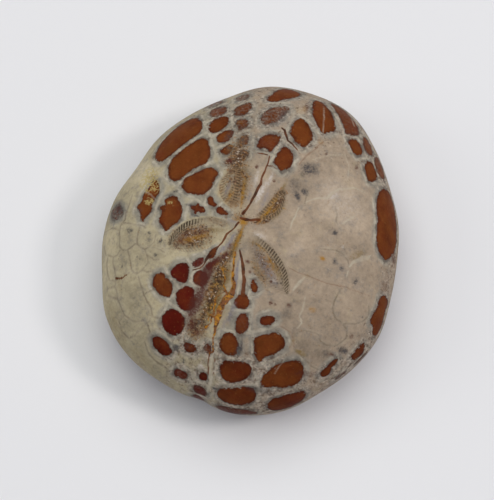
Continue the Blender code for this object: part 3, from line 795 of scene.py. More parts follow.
FILLINGS = (
    # the wide pale side
    Filling(.15, ((12, .735), (13.5, .69), (17, .655), (22, .643), (28, .65), (34, .655), (38, .675),
            (41, .71), (42.8, .77), (42.5, .83), (40, .872), (35, .876), (30, .87), (24, .868), (19, .86),
            (15.5, .82), (13, .77))),
    Filling(.12, ((343.2, .9), (342.8, .83), (344.5, .8), (345, .76), (347.5, .745), (351, .765),
            (355, .765), (357.5, .8), (358, .87), (356, .9), (352, .885), (348, .91), (345, .91))),
    # hind right ambulacrum
    Filling(.1, ((46, .665), (47, .64), (50, .645), (53, .655), (54.6, .69), (54, .73), (51, .745),
            (48, .735), (46.5, .7))),
    Filling(.08, ((47.5, .8), (50, .768), (54, .77), (56.3, .82), (56, .865), (52, .875), (48.5, .86)),
            .15),
    Filling(.08, ((58.2, .66), (59, .615), (62, .61), (65, .62), (65, .66), (63.5, .695), (60, .69))),
    Filling(.08, ((57.3, .76), (58.5, .725), (61, .73), (63.5, .76), (64.8, .8), (63, .828), (60, .815),
            (58, .8)), .1),
    # hind pair
    Filling(.3, ((71.5, .255), (74.5, .222), (79, .224), (84, .235), (85, .26), (84.3, .315), (80, .316),
            (75.5, .3), (73, .275))),
    Filling(.05, ((74.8, .37), (78, .368), (83, .38), (86, .4), (87, .46), (86, .507), (83, .5),
            (79, .468), (76, .44), (74.5, .41))),
    Filling(.1, ((72, .55), (74, .503), (77, .515), (81, .545), (84, .6), (86, .68), (86.3, .73),
            (84.8, .74), (82, .71), (78, .665), (74, .61), (72.2, .585))),
    Filling(.22, ((68.5, .63), (70, .65), (74, .68), (78, .73), (81.5, .79), (81, .82), (78, .828),
            (74, .81), (69, .79), (66.2, .74), (66.5, .69)), .12),
    Filling(.2, ((66.5, .94), (70, .9), (77, .92), (84, .96), (84, 1), (77, 1.03), (69, 1.01))),
    Filling(.32, ((89, .34), (89.5, .29), (91, .275), (94, .284), (98, .275), (101, .29), (99, .335),
            (95, .355), (91, .362), (89.3, .36)), .05),
    Filling(.15, ((93.5, .47), (96, .43), (100, .405), (102.5, .43), (102.5, .48), (100, .52), (96, .548),
            (93.5, .56), (92.8, .52)), .4),
    Filling(.1, ((92.8, .69), (95.5, .64), (98, .6), (101, .583), (103, .61), (102, .66), (100.5, .74),
            (99, .79), (96, .795), (92.8, .77))),
    Filling(.15, ((94, .96), (97, .92), (101, .93), (102, .98), (99, 1.03), (95, 1.02)), .2),
    # hind left ambulacrum
    Filling(.45, ((106.8, .244), (110, .235), (113, .25), (113, .268), (110, .266), (108, .262)), .45),
    Filling(.35, ((107.5, .31), (109, .298), (112.5, .303), (113.5, .33), (111, .348), (108, .337)), .3),
    Filling(.12, ((109, .41), (111, .393), (114, .4), (115.8, .45), (115, .467), (111, .453)), .25),
    Filling(.15, ((109, .525), (111, .497), (114.5, .5), (116.5, .53), (116.3, .57), (113, .595),
            (110, .59), (109, .56)), .22),
    Filling(.3, ((111, .67), (113, .645), (116, .68), (115, .735), (111.7, .72)), .75),
    Filling(.35, ((118.6, .242), (121, .232), (125, .235), (126.5, .245), (124, .252), (120, .251)), .35),
    Filling(.18, ((118.8, .3), (121.5, .283), (125, .285), (127, .31), (124, .324), (120, .322))),
    Filling(.12, ((117.6, .385), (120, .358), (125, .352), (127.5, .38), (126.5, .41), (122, .418),
            (118.5, .407))),
    Filling(.15, ((119.6, .49), (121.5, .455), (125, .438), (129, .45), (130, .49), (128, .53),
            (125, .548), (121.5, .538), (119.9, .515))),
    Filling(.15, ((120.3, .6), (121.5, .57), (124, .562), (127, .59), (127.5, .64), (126, .675),
            (122.5, .67), (120.8, .64)), .3),
    Filling(.25, ((121.6, .76), (123, .72), (126.5, .72), (127.5, .8), (126, .87), (123, .86)), .8),
    # left pair, rear column
    Filling(.26, ((-7.05, 2.15), (-6.75, 2.4), (-6.4, 2.25), (-6.2, 1.9), (-5.8, 1.65), (-5.85, 1.4),
            (-6.4, 1.35), (-6.8, 1.65)), flat=True),
    Filling(.04, ((136.5, .215), (140, .2), (147, .185), (153, .177), (160, .18), (166, .195),
            (168.5, .22), (169.8, .27), (168, .3), (164, .318), (159, .315), (155, .295), (149, .275),
            (143, .265), (139, .25))),
    Filling(.04, ((133.3, .4), (134, .345), (137, .31), (141, .293), (147, .305), (153, .32), (159, .335),
            (164, .35), (166, .39), (164, .43), (160, .46), (156, .475), (151, .468), (145, .462),
            (139, .455), (135, .44))),
    Filling(.06, ((132.5, .56), (134.5, .51), (138, .495), (144, .495), (150, .5), (155, .515),
            (159, .54), (160, .6), (158, .655), (153, .68), (147, .705), (140, .715), (135.5, .7),
            (133, .64))),
    # left pair, next column
    Filling(.3, ((-5.45, 1.1), (-5.15, 1.4), (-4.75, 1.45), (-4.4, 1.15), (-4, .95), (-4.05, .8),
            (-4.7, .6), (-5.25, .7)), flat=True),
    Filling(.42, ((-8.75, .45), (-8.2, .65), (-8, 1.1), (-7.7, .72), (-7.2, .75), (-6.9, .3), (-7.2, 0),
            (-7.6, -.05), (-7.95, -.4), (-8.15, 0), (-8.6, .15)), flat=True),
    Filling(.1, ((177, .312), (179.5, .28), (184, .257), (189, .245), (195, .245), (199, .26), (202, .29),
            (204, .312), (200, .33), (197, .35), (194.3, .35), (191, .342), (188.7, .345), (187.5, .367),
            (186, .355), (184, .338), (180.5, .348))),
    Filling(.16, ((170.5, .49), (173, .44), (177, .412), (181, .415), (185, .42), (190, .415), (193, .44),
            (195, .447), (194, .465), (191, .475), (189, .49), (187.3, .516), (185.8, .512), (184, .5),
            (180, .502), (175, .498))),
    Filling(.5, ((184.8, .75), (186, .68), (188, .645), (190.5, .64), (191, .7), (189.5, .77), (187, .81),
            (185.3, .8)), .72),
    # left pair, front columns
    Filling(1.00, ((239, .225), (241, .2), (244, .19), (245.3, .205), (243.5, .233), (241, .235)), .1),
    Filling(1.00, ((232, .295), (234, .267), (237, .252), (241, .257), (244.3, .285), (244.8, .31),
            (241, .325), (237, .33), (233.5, .325))),
    Filling(.22, ((228.8, .385), (230, .365), (234, .357), (240, .36), (242.6, .395), (241.6, .415),
            (236, .432), (231, .427), (229, .41))),
    Filling(.45, ((244.8, .15), (246, .135), (249, .132), (251.5, .145), (252, .163), (249, .172),
            (246.5, .168))),
    Filling(.7, ((247.5, .25), (249, .232), (252, .235), (256, .245), (258, .265), (256, .285),
            (252, .289), (249, .28)), .05),
    Filling(.85, ((245, .36), (246.5, .325), (249, .315), (253, .315), (256.6, .345), (257.6, .38),
            (254.6, .41), (250, .41), (247, .395))),
    Filling(1.1, ((245.8, .48), (247.5, .445), (250, .435), (254, .437), (256.7, .46), (257.2, .5),
            (255.5, .54), (252, .553), (249, .545), (246.5, .515))),
    Filling(.75, ((247.2, .635), (248.5, .613), (252, .608), (255, .622), (256.3, .65), (255, .682),
            (252, .693), (249.5, .68), (248, .66))),
    Filling(1.05, ((-5.6, -6.7), (-5.35, -6.15), (-4.85, -5.8), (-4.7, -6.3), (-5.1, -6.8)), .1, True),
    Filling(.95, ((-4.2, -6.4), (-3.7, -5.7), (-3, -5.2), (-2.7, -5.4), (-3.2, -6.1), (-3.7, -6.7)), 0,
            True),
    Filling(.9, ((-4.95, -8.4), (-5, -7.8), (-4.6, -7.4), (-3.9, -7.3), (-3.4, -8), (-3.9, -8.7),
            (-4.6, -8.75)), 0, True),
    # front ambulacrum
    Filling(.4, ((260.3, .565), (262, .547), (265, .545), (266.3, .56), (265, .58), (263, .592),
            (261, .582))),
    Filling(.75, ((259.8, .765), (260.5, .735), (263, .724), (265, .74), (264.5, .775), (262, .795),
            (260.2, .79)), .12),
    Filling(.45, ((269.3, .535), (270.5, .512), (272.3, .515), (272.6, .54), (271, .55)), .2),
    Filling(.6, ((269.5, .71), (270.5, .68), (272.3, .685), (272.6, .715), (271.5, .732), (270, .73))),
    Filling(1.1, ((268.2, .85), (268.8, .8), (271, .797), (272.7, .83), (272.7, .87), (271.3, .9),
            (269.5, .895)), .12),
    Filling(.8, ((268, .97), (269, .937), (271, .95), (272, .99), (271.3, 1.03), (268.8, 1.03)), .1),
    # right pair, first column
    Filling(.3, ((1.2, -9.85), (.8, -9.35), (1.15, -8.4), (1.9, -8.2), (2.5, -8.7), (2.6, -9.5),
            (2, -9.9)), flat=True),
    Filling(.45, ((1.95, -10.8), (2.5, -10.35), (3.15, -10.8), (3.5, -11.8), (3.15, -12.6), (2.4, -12.8),
            (1.95, -12.2), (1.8, -11.5)), .05, True),
    Filling(.14, ((276.6, .49), (277.8, .447), (279.6, .425), (282.6, .423), (284.9, .445), (285.8, .478),
            (284.2, .508), (281.4, .521), (278.4, .517))),
    Filling(.45, ((277.5, .61), (279, .568), (283, .553), (288, .55), (290.7, .58), (289, .628),
            (285.5, .658), (282, .673), (279, .66))),
    Filling(.3, ((277.2, .79), (278.5, .742), (282, .713), (286, .697), (290, .697), (291.2, .73),
            (290.3, .8), (286, .843), (281, .852), (278.5, .83))),
    Filling(.8, ((277, .99), (278, .93), (281, .908), (285, .902), (289, .915), (291, .96), (289, 1),
            (284, 1.03), (279, 1.03)), .2),
    # right pair, second column
    Filling(.08, ((2.1, -6.05), (2.35, -6.45), (2.85, -6.6), (3, -7.1), (2.6, -7.5), (2.2, -7.15),
            (2.1, -6.6)), flat=True),
    Filling(.5, ((4.75, -10.2), (5.2, -9.75), (6.1, -9.45), (6.4, -9.8), (6, -10.5), (5.2, -10.8),
            (4.8, -10.6)), flat=True),
    Filling(.2, ((293.4, .47), (294.2, .438), (297, .43), (301, .432), (305, .44), (307.3, .46),
            (307.7, .5), (304.7, .52), (300, .531), (296.8, .529), (295.3, .547), (293.9, .548),
            (293.2, .5))),
    Filling(.16, ((293.7, .667), (295.2, .628), (298, .602), (301, .587), (306, .592), (309.8, .61),
            (311.2, .65), (310.3, .71), (307.8, .738), (304, .74), (301, .728), (298.6, .71),
            (295.2, .703))),
    Filling(.5, ((294.9, .87), (295.7, .83), (297.2, .802), (301, .797), (305, .81), (307.8, .83),
            (308.8, .88), (307.3, .945), (304, .975), (300, .973), (297, .95), (295.5, .92))),
    # front right ambulacrum
    Filling(.4, ((316.6, .8), (317, .77), (319.5, .757), (321, .747), (324, .742), (325, .757),
            (323, .773), (321, .782), (320, .81), (318, .82))),
    Filling(.4, ((321, .92), (323, .907), (326, .915), (325.5, .943), (322, .943)), .6),
    Filling(.22, ((330.2, .83), (331, .812), (335, .807), (336.8, .82), (336.3, .88), (334, .898),
            (331, .885), (330.2, .86))),
    Filling(.4, ((330, .94), (333, .936), (337, .936), (336.5, .955), (331, .955)), .2),
)


@dataclass(frozen=True)
class PlateMap:
    """The net of plates over the whole test, and the jasper in them."""

    borders: tuple[Border, ...] = BORDERS
    seams: tuple[tuple[tuple[float, float], ...], ...] = SEAMS
    fillings: tuple[Filling, ...] = FILLINGS
    hidden_step: float = 0.15
    hidden_end: float = 1.9
    hidden_seed: int = 20
    hidden_share: float = 0.5
    hidden_start: float = 1.04
    hidden_rim: float = 0.42
    hidden_power: float = 3.2
    wobble: float = 0.07
    wobble_size: float = 1.1
    farthest: float = 3.0

    def all_seams(self, number: int) -> np.ndarray:
        """Seams of a column with those of the underside added down to the mouth."""
        seams = [(0.0, 0.0), *self.seams[number]]
        draw = np.random.default_rng(self.hidden_seed + number)
        reach = seams[-1][0] + self.hidden_step
        while reach < self.hidden_end:
            seams.append((reach, reach + 0.02 * (draw.random() - 0.5)))
            reach += self.hidden_step * (0.75 + 0.5 * draw.random())
        return np.array(seams + [(2.4, 2.4)])

    def fields(self, surface: Surface) -> PlateFields:
        """Work out the plates' fields at every point.

        Args:
            surface: the test's points.

        Returns:
            Distances in millimetres: into a filling, and to the nearest seams, whose
            sign changes from one plate to the next.
        """
        sway = self.wobble * rock_noise(surface.position, self.wobble_size, 3)
        reach = surface.reach + sway / surface.reach_scale
        sway = self.wobble * rock_noise(surface.position, self.wobble_size, 4)
        angle = surface.angle + sway / np.maximum(surface.angle_scale, 0.03)
        count = len(self.borders)
        seams = [self.all_seams(number) for number in range(count)]
        lines = np.array([self.borders[number].angle_at(
            reach, surface.angle_scale, seams[number - 1][:, 1], seams[number][:, 0])
            for number in range(count)])
        lines = np.vstack([lines, lines[:1] + 360.0])
        angle = lines[0] + (angle - lines[0]) % 360.0
        column = np.clip((lines <= angle).sum(axis=0) - 1, 0, count - 1)
        result = PlateFields(*(np.zeros(len(angle)) for _ in range(6)))
        result.fill[:] = -self.farthest
        for number in range(count):
            here = np.nonzero(column == number)[0]
            self._column_fields(result, number, here, surface, angle, reach, lines, seams[number])
        for filling in self.fillings:
            self._add_filling(result, filling, surface, angle % 360.0, reach)
        return result

    def _add_filling(self, result: PlateFields, filling: Filling, surface: Surface,
                     angle: np.ndarray, reach: np.ndarray) -> None:
        """Merge one filling into the fields.

        Args:
            result: fields to write into.
            filling: the filling.
            surface: the test's points.
            angle: angles of all points, from 0 to 360.
            reach: reaches of all points.
        """
        corners = np.array(filling.points)
        low, high = corners.min(axis=0), corners.max(axis=0)
        spots = (angle, reach, surface.angle_scale, surface.reach_scale)
        if filling.flat:
            even = np.ones(len(angle))
            spots = (surface.plan[:, 0], surface.plan[:, 1], even, even)
        side, end = (2.5 / np.maximum(scale, 0.02) for scale in spots[2:])
        near = (spots[0] > low[0] - side) & (spots[0] < high[0] + side)
        near &= (spots[1] > low[1] - end) & (spots[1] < high[1] + end) & (surface.reach < 1.2)
        here = np.nonzero(near)[0]
        depth = filling.depth(*(spot[here] for spot in spots))
        depth = np.clip(depth, -self.farthest, self.farthest)
        better = depth > result.fill[here]
        result.fill[here[better]] = depth[better]
        result.redness[here[better]] = filling.redness
        result.haze[here[better]] = filling.haze

    def _column_fields(self, result: PlateFields, number: int, here: np.ndarray,
                       surface: Surface, angle: np.ndarray, reach: np.ndarray,
                       lines: np.ndarray, seams: np.ndarray) -> None:
        """Fill in the fields of one column's points.

        Args:
            result: fields to write into.
            number: the column's number.
            here: indices of the column's points.
            surface: the test's points.
            angle: angles of all points.
            reach: reaches of all points.
            lines: angles of all borders at all points.
            seams: the column's seams, one row each.
        """
        low, high = lines[number][here], lines[number + 1][here]
        across = (angle[here] - low) / (high - low)
        width = (high - low) * surface.angle_scale[here]
        levels = seams[:, :1] + (seams[:, 1:] - seams[:, :1]) * across
        row = np.clip((levels <= reach[here]).sum(axis=0) - 1, 0, len(seams) - 2)
        top = np.take_along_axis(levels, row[None], 0)[0]
        bottom = np.take_along_axis(levels, row[None] + 1, 0)[0]
        height = (bottom - top) * surface.reach_scale[here]
        down = (reach[here] - top) / (bottom - top)
        to_column = np.minimum(across, 1.0 - across) * width
        to_row = np.minimum(down, 1.0 - down) * height
        result.column_seam[here] = to_column * (-1.0) ** number
        result.row_seam[here] = to_row * np.where(row % 2 == 0, 1.0, -1.0)
        draw = np.random.default_rng(self.hidden_seed + 50 + number)
        tones = draw.random((len(seams), 3))
        result.shade[here] = tones[row, 0] - 0.5
        hidden = (seams[row, 0] > self.hidden_start) & (tones[row, 1] < self.hidden_share)
        half = np.minimum(width, height) / 2
        oval = (np.abs(2 * across - 1) ** self.hidden_power
                + np.abs(2 * down - 1) ** self.hidden_power) ** (1 / self.hidden_power)
        depth = half * (1.0 - oval) - self.hidden_rim
        result.fill[here] = np.where(hidden, np.maximum(depth, -self.farthest), -self.farthest)
        result.redness[here] = 0.6 * tones[row, 2]


# ---------------------------------------------------------------- shader building

class Value:
    """A number that varies over the surface: arithmetic on it adds Math nodes."""

    def __init__(self, board: "Board", socket: bpy.types.NodeSocket) -> None:
        """Wrap a socket of a material's node tree."""
        self.board = board
        self.socket = socket

    def _math(self, operation: str, *terms: "Value | float") -> "Value":
        """Add one Math node on the given terms."""
        node = self.board.node("ShaderNodeMath", {"operation": operation}, dict(enumerate(terms)))
        return Value(self.board, node.outputs[0])

    def __add__(self, other: "Value | float") -> "Value":
        """self + other."""
        return self._math("ADD", self, other)

    def __radd__(self, other: float) -> "Value":
        """other + self."""
        return self._math("ADD", other, self)

    def __sub__(self, other: "Value | float") -> "Value":
        """self - other."""
        return self._math("SUBTRACT", self, other)

    def __rsub__(self, other: float) -> "Value":
        """other - self."""
        return self._math("SUBTRACT", other, self)

    def __mul__(self, other: "Value | float") -> "Value":
        """self * other."""
        return self._math("MULTIPLY", self, other)

    def __abs__(self) -> "Value":
        """abs(self)."""
        return self._math("ABSOLUTE", self)

    def cosine(self) -> "Value":
        """Cosine of an angle in radians."""
        return self._math("COSINE", self)

    def at_most(self, other: "Value | float") -> "Value":
        """The smaller of two values."""
        return self._math("MINIMUM", self, other)

    def at_least(self, other: "Value | float") -> "Value":
        """The larger of two values."""
        return self._math("MAXIMUM", self, other)

    def ease(self, low: float, high: float) -> "Value":
        """0 below low and 1 above high, eased between; low may be the larger."""
        settings = {"interpolation_type": "SMOOTHSTEP"}
        if low < high:
            places = {0: self, 1: low, 2: high, 3: 0.0, 4: 1.0}
        else:
            places = {0: self, 1: high, 2: low, 3: 1.0, 4: 0.0}
        node = self.board.node("ShaderNodeMapRange", settings, places)
        return Value(self.board, node.outputs[0])


Colour = tuple[float, float, float]
Input = "Value | bpy.types.NodeSocket | float | tuple[float, ...]"


class Board:
    """A material's node tree, with one method that adds any node."""

    def __init__(self, material: bpy.types.Material) -> None:
        """Empty the material's node tree and keep it."""
        material.use_nodes = True
        self.tree = material.node_tree
        self.tree.nodes.clear()
        self.place = self.node("ShaderNodeTexCoord").outputs["Object"]

    def node(self, kind: str, settings: dict | None = None,
             inputs: dict | None = None) -> bpy.types.Node:
        """Add a node.

        Args:
            kind: the node's type name.
            settings: attributes of the node, set first.
            inputs: values or links by socket name or number.

        Returns:
            The new node.
        """
        node = self.tree.nodes.new(kind)
        for name, value in (settings or {}).items():
            setattr(node, name, value)
        for key, value in (inputs or {}).items():
            socket = node.inputs[key]
            source = value.socket if isinstance(value, Value) else value
            if isinstance(source, bpy.types.NodeSocket):
                self.tree.links.new(source, socket)
            elif isinstance(source, tuple) and len(source) == 3 and socket.type == "RGBA":
                socket.default_value = (*source, 1.0)
            else:
                socket.default_value = source
        return node

    def attribute(self, name: str) -> Value:
        """A point attribute of the mesh as a number."""
        node = self.node("ShaderNodeAttribute", {"attribute_name": name})
        return Value(self, node.outputs["Fac"])

    def grain(self, size: float, detail: float = 2.0, shift: float = 0.0,
              roughness: float = 0.5) -> Value:
        """Noise about 0, roughly from -1 to 1, in lumps of a size in metres."""
        moved = self.node("ShaderNodeVectorMath", {"operation": "ADD"},
                          {0: self.place, 1: (shift, shift * 0.7, -shift)})
        node = self.node("ShaderNodeTexNoise", {"noise_dimensions": "3D"},
                         {"Vector": moved.outputs[0], "Scale": 1.0 / size, "Detail": detail,
                          "Roughness": roughness})
        return (Value(self, node.outputs["Fac"]) - 0.5) * 5.0

    def mix(self, amount: "Value | float", first: "Input", second: "Input",
            blend: str = "MIX") -> bpy.types.NodeSocket:
        """Mix two colours by an amount from 0 to 1."""
        node = self.node("ShaderNodeMix", {"data_type": "RGBA", "blend_type": blend},
                         {0: amount, 6: first, 7: second})
        return node.outputs[2]

    def lighten(self, colour: "Input", gain: Value) -> bpy.types.NodeSocket:
        """A colour times a number that varies over the surface."""
        grey = self.node("ShaderNodeCombineXYZ", None, {0: gain, 1: gain, 2: gain})
        return self.mix(1.0, colour, grey.outputs[0], "MULTIPLY")

    def finish(self, shader: bpy.types.NodeSocket) -> None:
        """Connect a shader to the material's output."""
        self.node("ShaderNodeOutputMaterial", None, {"Surface": shader})


# ---------------------------------------------------------------- finishes

@dataclass(frozen=True)
class UrchinStone:
    """Finish of the test: cream stone, jasper plates, petals, cracks and stains."""

    cream: Colour = (0.400, 0.342, 0.220)
    beige: Colour = (0.352, 0.275, 0.196)
    dusk: Colour = (0.222, 0.194, 0.162)
    yellow: Colour = (0.400, 0.330, 0.190)
    seam_cream: Colour = (0.455, 0.405, 0.310)
    net_grey: Colour = (0.255, 0.240, 0.200)
    seam: Colour = (0.130, 0.092, 0.055)
    speck_dark: Colour = (0.115, 0.068, 0.045)
    speck_pale: Colour = (0.500, 0.420, 0.330)
    jasper_orange: Colour = (0.150, 0.041, 0.0095)
    jasper_maroon: Colour = (0.086, 0.0080, 0.0040)
    jasper_dark: Colour = (0.046, 0.011, 0.007)
    halo: Colour = (0.088, 0.074, 0.062)
    vein: Colour = (0.125, 0.036, 0.011)
    vein_dark: Colour = (0.040, 0.012, 0.006)
    crust: Colour = (0.440, 0.190, 0.012)
    crust_red: Colour = (0.200, 0.070, 0.022)
    crust_dark: Colour = (0.050, 0.018, 0.009)
    pale_line: Colour = (0.480, 0.425, 0.320)
    red_line: Colour = (0.200, 0.110, 0.065)
    pore: Colour = (0.048, 0.033, 0.021)
    pore_ground_cool: Colour = (0.255, 0.210, 0.145)
    pore_ground_warm: Colour = (0.250, 0.155, 0.080)
    squiggle: Colour = (0.035, 0.022, 0.014)
    thread: Colour = (0.440, 0.345, 0.130)
    grit: Colour = (0.060, 0.032, 0.020)
    grit_ground: Colour = (0.150, 0.098, 0.052)
    grit_warm: Colour = (0.260, 0.120, 0.035)
    roughness: float = 0.50
    ior: float = 1.45
    sheen: float = 0.03
    bump_strength: float = 0.6
    bump_distance: float = 0.0002
    stain_tints: tuple[tuple[Stain, Colour, float], ...] = (
        (Stain.LILAC, (0.225, 0.200, 0.205), 1.1),
        (Stain.SMOKE, (0.055, 0.052, 0.055), 1.2),
        (Stain.CHALK, (0.560, 0.500, 0.440), 1.3),
        (Stain.OCHRE, (0.205, 0.138, 0.046), 1.4),
        (Stain.RUST, (0.078, 0.022, 0.016), 1.5),
        (Stain.GOLD, (0.340, 0.165, 0.018), 1.6),
    )

    def build(self) -> bpy.types.Material:
        """Make the material."""
        material = bpy.data.materials.new("urchin_stone")
        board = Board(material)
        depth = board.attribute("fill") + 0.07
        depth = depth + board.grain(0.0003, 3.0, 0.1, 0.6) * 0.07 + board.grain(0.0009, 2.0, 0.2) * 0.08
        colour = self.pale_stone(board, depth)
        soft = depth.ease(-0.70, -0.05) * (board.grain(0.0012, 3.0, 0.25) * 0.9 + 0.12)
        rim = depth.ease(-0.20, 0.0) * (board.grain(0.0003, 3.0, 0.3, 0.6) * 0.4 + 0.35)
        soft = soft.at_least(0.0) + rim
        colour = board.mix(soft.at_most(0.72), colour, self.halo)
        frayed = (board.grain(0.00040, 3.0, 2.15, 0.7) - 0.25).ease(0.0, 1.0) * depth.ease(0.55, 0.0)
        frayed = frayed * (board.attribute("specks") * 0.9 + 0.25).at_most(1.0)
        filled = (depth - frayed * 0.6).ease(-0.06, 0.05)
        colour = board.mix(filled * self.clear(board), colour, self.jasper(board, depth))
        for stain, tint, shift in self.stain_tints:
            if stain is Stain.RUST:
                colour = self.gritty(board, colour)
            amount = board.attribute(stain.value)
            broken = amount * (1.0 + board.grain(0.00032, 4.0, shift, 0.65) * 0.6)
            colour = board.mix(broken.ease(0.02, 1.0) * 0.90, colour, tint)
        colour = self.pores(board, colour)
        colour = self.lines(board, colour)
        self.surface(board, colour, filled)
        return material

    def gritty(self, board: Board, colour: bpy.types.NodeSocket) -> bpy.types.NodeSocket:
        """Strew the gritty ground of petals and furrow with small warm, dark and pale grains."""
        grit = board.attribute("grit") * (1.0 + board.grain(0.0012, 2.0, 3.2) * 0.35)
        colour = board.mix(grit.ease(0.1, 1.0) * 0.68, colour, self.grit_ground)
        warm = (board.grain(0.00034, 3.0, 3.3, 0.65) * 0.9 + grit - 0.60).ease(-0.1, 0.7)
        colour = board.mix(warm * 0.6, colour, self.grit_warm)
        dark = (board.grain(0.00030, 3.0, 3.4, 0.65) * 0.9 + grit - 0.85).ease(-0.1, 0.5)
        colour = board.mix(dark * 0.85, colour, self.grit)
        pale = (board.grain(0.00030, 3.0, 3.5, 0.65) * 0.9 + grit * 0.6 - 0.95).ease(0.0, 0.5)
        return board.mix(pale * 0.8, colour, self.speck_pale)

    def clear(self, board: Board) -> Value:
        """1 where the jasper shows, less in the grains that cloud a hazy filling."""
        grains = board.grain(0.00034, 4.0, 2.1, 0.65) * 1.1 + 0.75
        return (1.0 - board.attribute("haze") * 1.1 * grains).at_least(0.08).at_most(1.0)

    def pale_stone(self, board: Board, depth: Value) -> bpy.types.NodeSocket:
        """Colour of the pale stone with its mottling, painted shade, seams and speckled rims."""
        warm = board.attribute("warmth") + board.grain(0.004, 2.0, 0.4) * 0.15
        colour = board.mix(warm.ease(0.1, 0.9), self.cream, self.beige)
        yellow = board.grain(0.0021, 3.0, 0.45) * 0.5 + board.grain(0.0005, 3.0, 0.46) * 0.3
        colour = board.mix(yellow.ease(0.1, 1.2) * 0.5, colour, self.yellow)
        clouds = (board.grain(0.0014, 4.0, 0.85, 0.65) + board.grain(0.0004, 3.0, 0.86, 0.6) * 0.5)
        colour = board.mix(clouds.ease(-0.1, 1.4) * 0.70, colour, self.dusk)
        net = depth.ease(-1.1, -0.35)
        colour = board.mix(net * 0.75, colour, self.net_grey)
        seam = abs(board.attribute("column_seam")).at_most(abs(board.attribute("row_seam")))
        seam = seam + board.grain(0.0007, 2.0, 0.5) * 0.04
        strength = board.attribute("seam_strength")
        pale = (seam.ease(0.30, 0.05) * net).at_least(board.attribute("suture_rim") * 0.62)
        colour = board.mix(pale * (board.grain(0.0008, 2.0, 0.9) * 0.35 + 0.75), colour, self.seam_cream)
        # the tone layer holds tone that differs over the stone plus painted shade on the front margin and
        # lower right
        mottle_and_painted_shade = (board.grain(0.0026, 3.0, 0.7) * 0.09 + board.grain(0.00045, 4.0, 0.8, 0.65) * 0.13
                  + board.grain(0.0010, 3.0, 0.81) * 0.08 + board.attribute("tone_and_painted_shade") * 0.30)
        colour = board.lighten(colour, 1.0 + mottle_and_painted_shade)
        line = seam.ease(0.075, 0.015) * strength * 0.5
        line = line.at_least(board.attribute("suture") * 0.82)
        line = line * (board.grain(0.0011, 3.0, 0.95) * 0.4 + 0.8)
        colour = board.mix(line.at_least(0.0).at_most(0.85), colour, self.seam)
        specks = board.attribute("specks")
        dark = (board.grain(0.00060, 4.0, 1.0, 0.7) * 0.8 + specks * 0.8 - 0.60).ease(-0.1, 0.6)
        colour = board.mix(dark * 0.8, colour, self.speck_dark)
        light = (board.grain(0.00045, 4.0, 1.7, 0.7) * 0.8 + specks * 0.75 - 0.60).ease(-0.1, 0.6)
        return board.mix(light * 0.8, colour, self.speck_pale)

    def jasper(self, board: Board, depth: Value) -> bpy.types.NodeSocket:
        """Colour of the jasper fillings, darker towards their edges."""
        redness = board.attribute("redness") + board.grain(0.0019, 2.0, 1.8) * 0.22
        redness = redness + board.grain(0.00035, 3.0, 1.85) * 0.10 + depth.ease(0.3, 0.0) * 0.15
        colour = board.mix(redness.at_least(0.0).at_most(1.0), self.jasper_orange, self.jasper_maroon)
        edge = (depth + board.grain(0.0011, 3.0, 1.88) * 0.18).ease(0.48, -0.05)
        colour = board.mix(edge * 0.60, colour, self.jasper_dark)
        # the tone layer darkens the jasper with painted shade on the front margin and lower right too
        gain = 1.0 + board.attribute("tone_and_painted_shade") * 0.3 + board.grain(0.0016, 3.0, 1.9) * 0.14
        gain = gain + board.grain(0.0003, 3.0, 2.0) * 0.05
        return board.lighten(colour, gain)

    def slits(self, board: Board) -> Value:
        """1 in a slit pore or in the small pore inside it, 0 between two."""
        wave = (board.attribute("pore_phase") * (2 * math.pi)).cosine()
        band = board.attribute("pore_band") + board.grain(0.0006, 1.0, 2.2) * 0.10
        outer = (wave + board.grain(0.0005, 2.0, 2.3) * 0.5).ease(-0.4, 0.5)
        outer = outer * abs(band - 0.22).ease(0.72, 0.45)
        inner = (wave + board.grain(0.0004, 1.0, 2.32) * 0.3).ease(0.0, 0.6)
        inner = inner * abs(band + 0.92).ease(0.30, 0.12)
        return outer.at_least(inner * 0.85) * board.attribute("pore_strength")

    def pores(self, board: Board, colour: bpy.types.NodeSocket) -> bpy.types.NodeSocket:
        """Lay the petals' pore zones and slit pores over a colour."""
        ground = board.mix(board.attribute("pore_warmth"), self.pore_ground_cool, self.pore_ground_warm)
        ground = board.lighten(ground, 1.0 + board.grain(0.00030, 3.0, 2.33) * 0.2)
        zone = abs(board.attribute("pore_band") - 0.1).ease(1.1, 0.7) * board.attribute("pore_ground")
        zone = zone * (board.grain(0.0004, 3.0, 2.35) * 0.5 + 0.8)
        colour = board.mix(zone.at_least(0.0).at_most(0.85), colour, ground)
        return board.mix(self.slits(board) * 0.92, colour, self.pore)

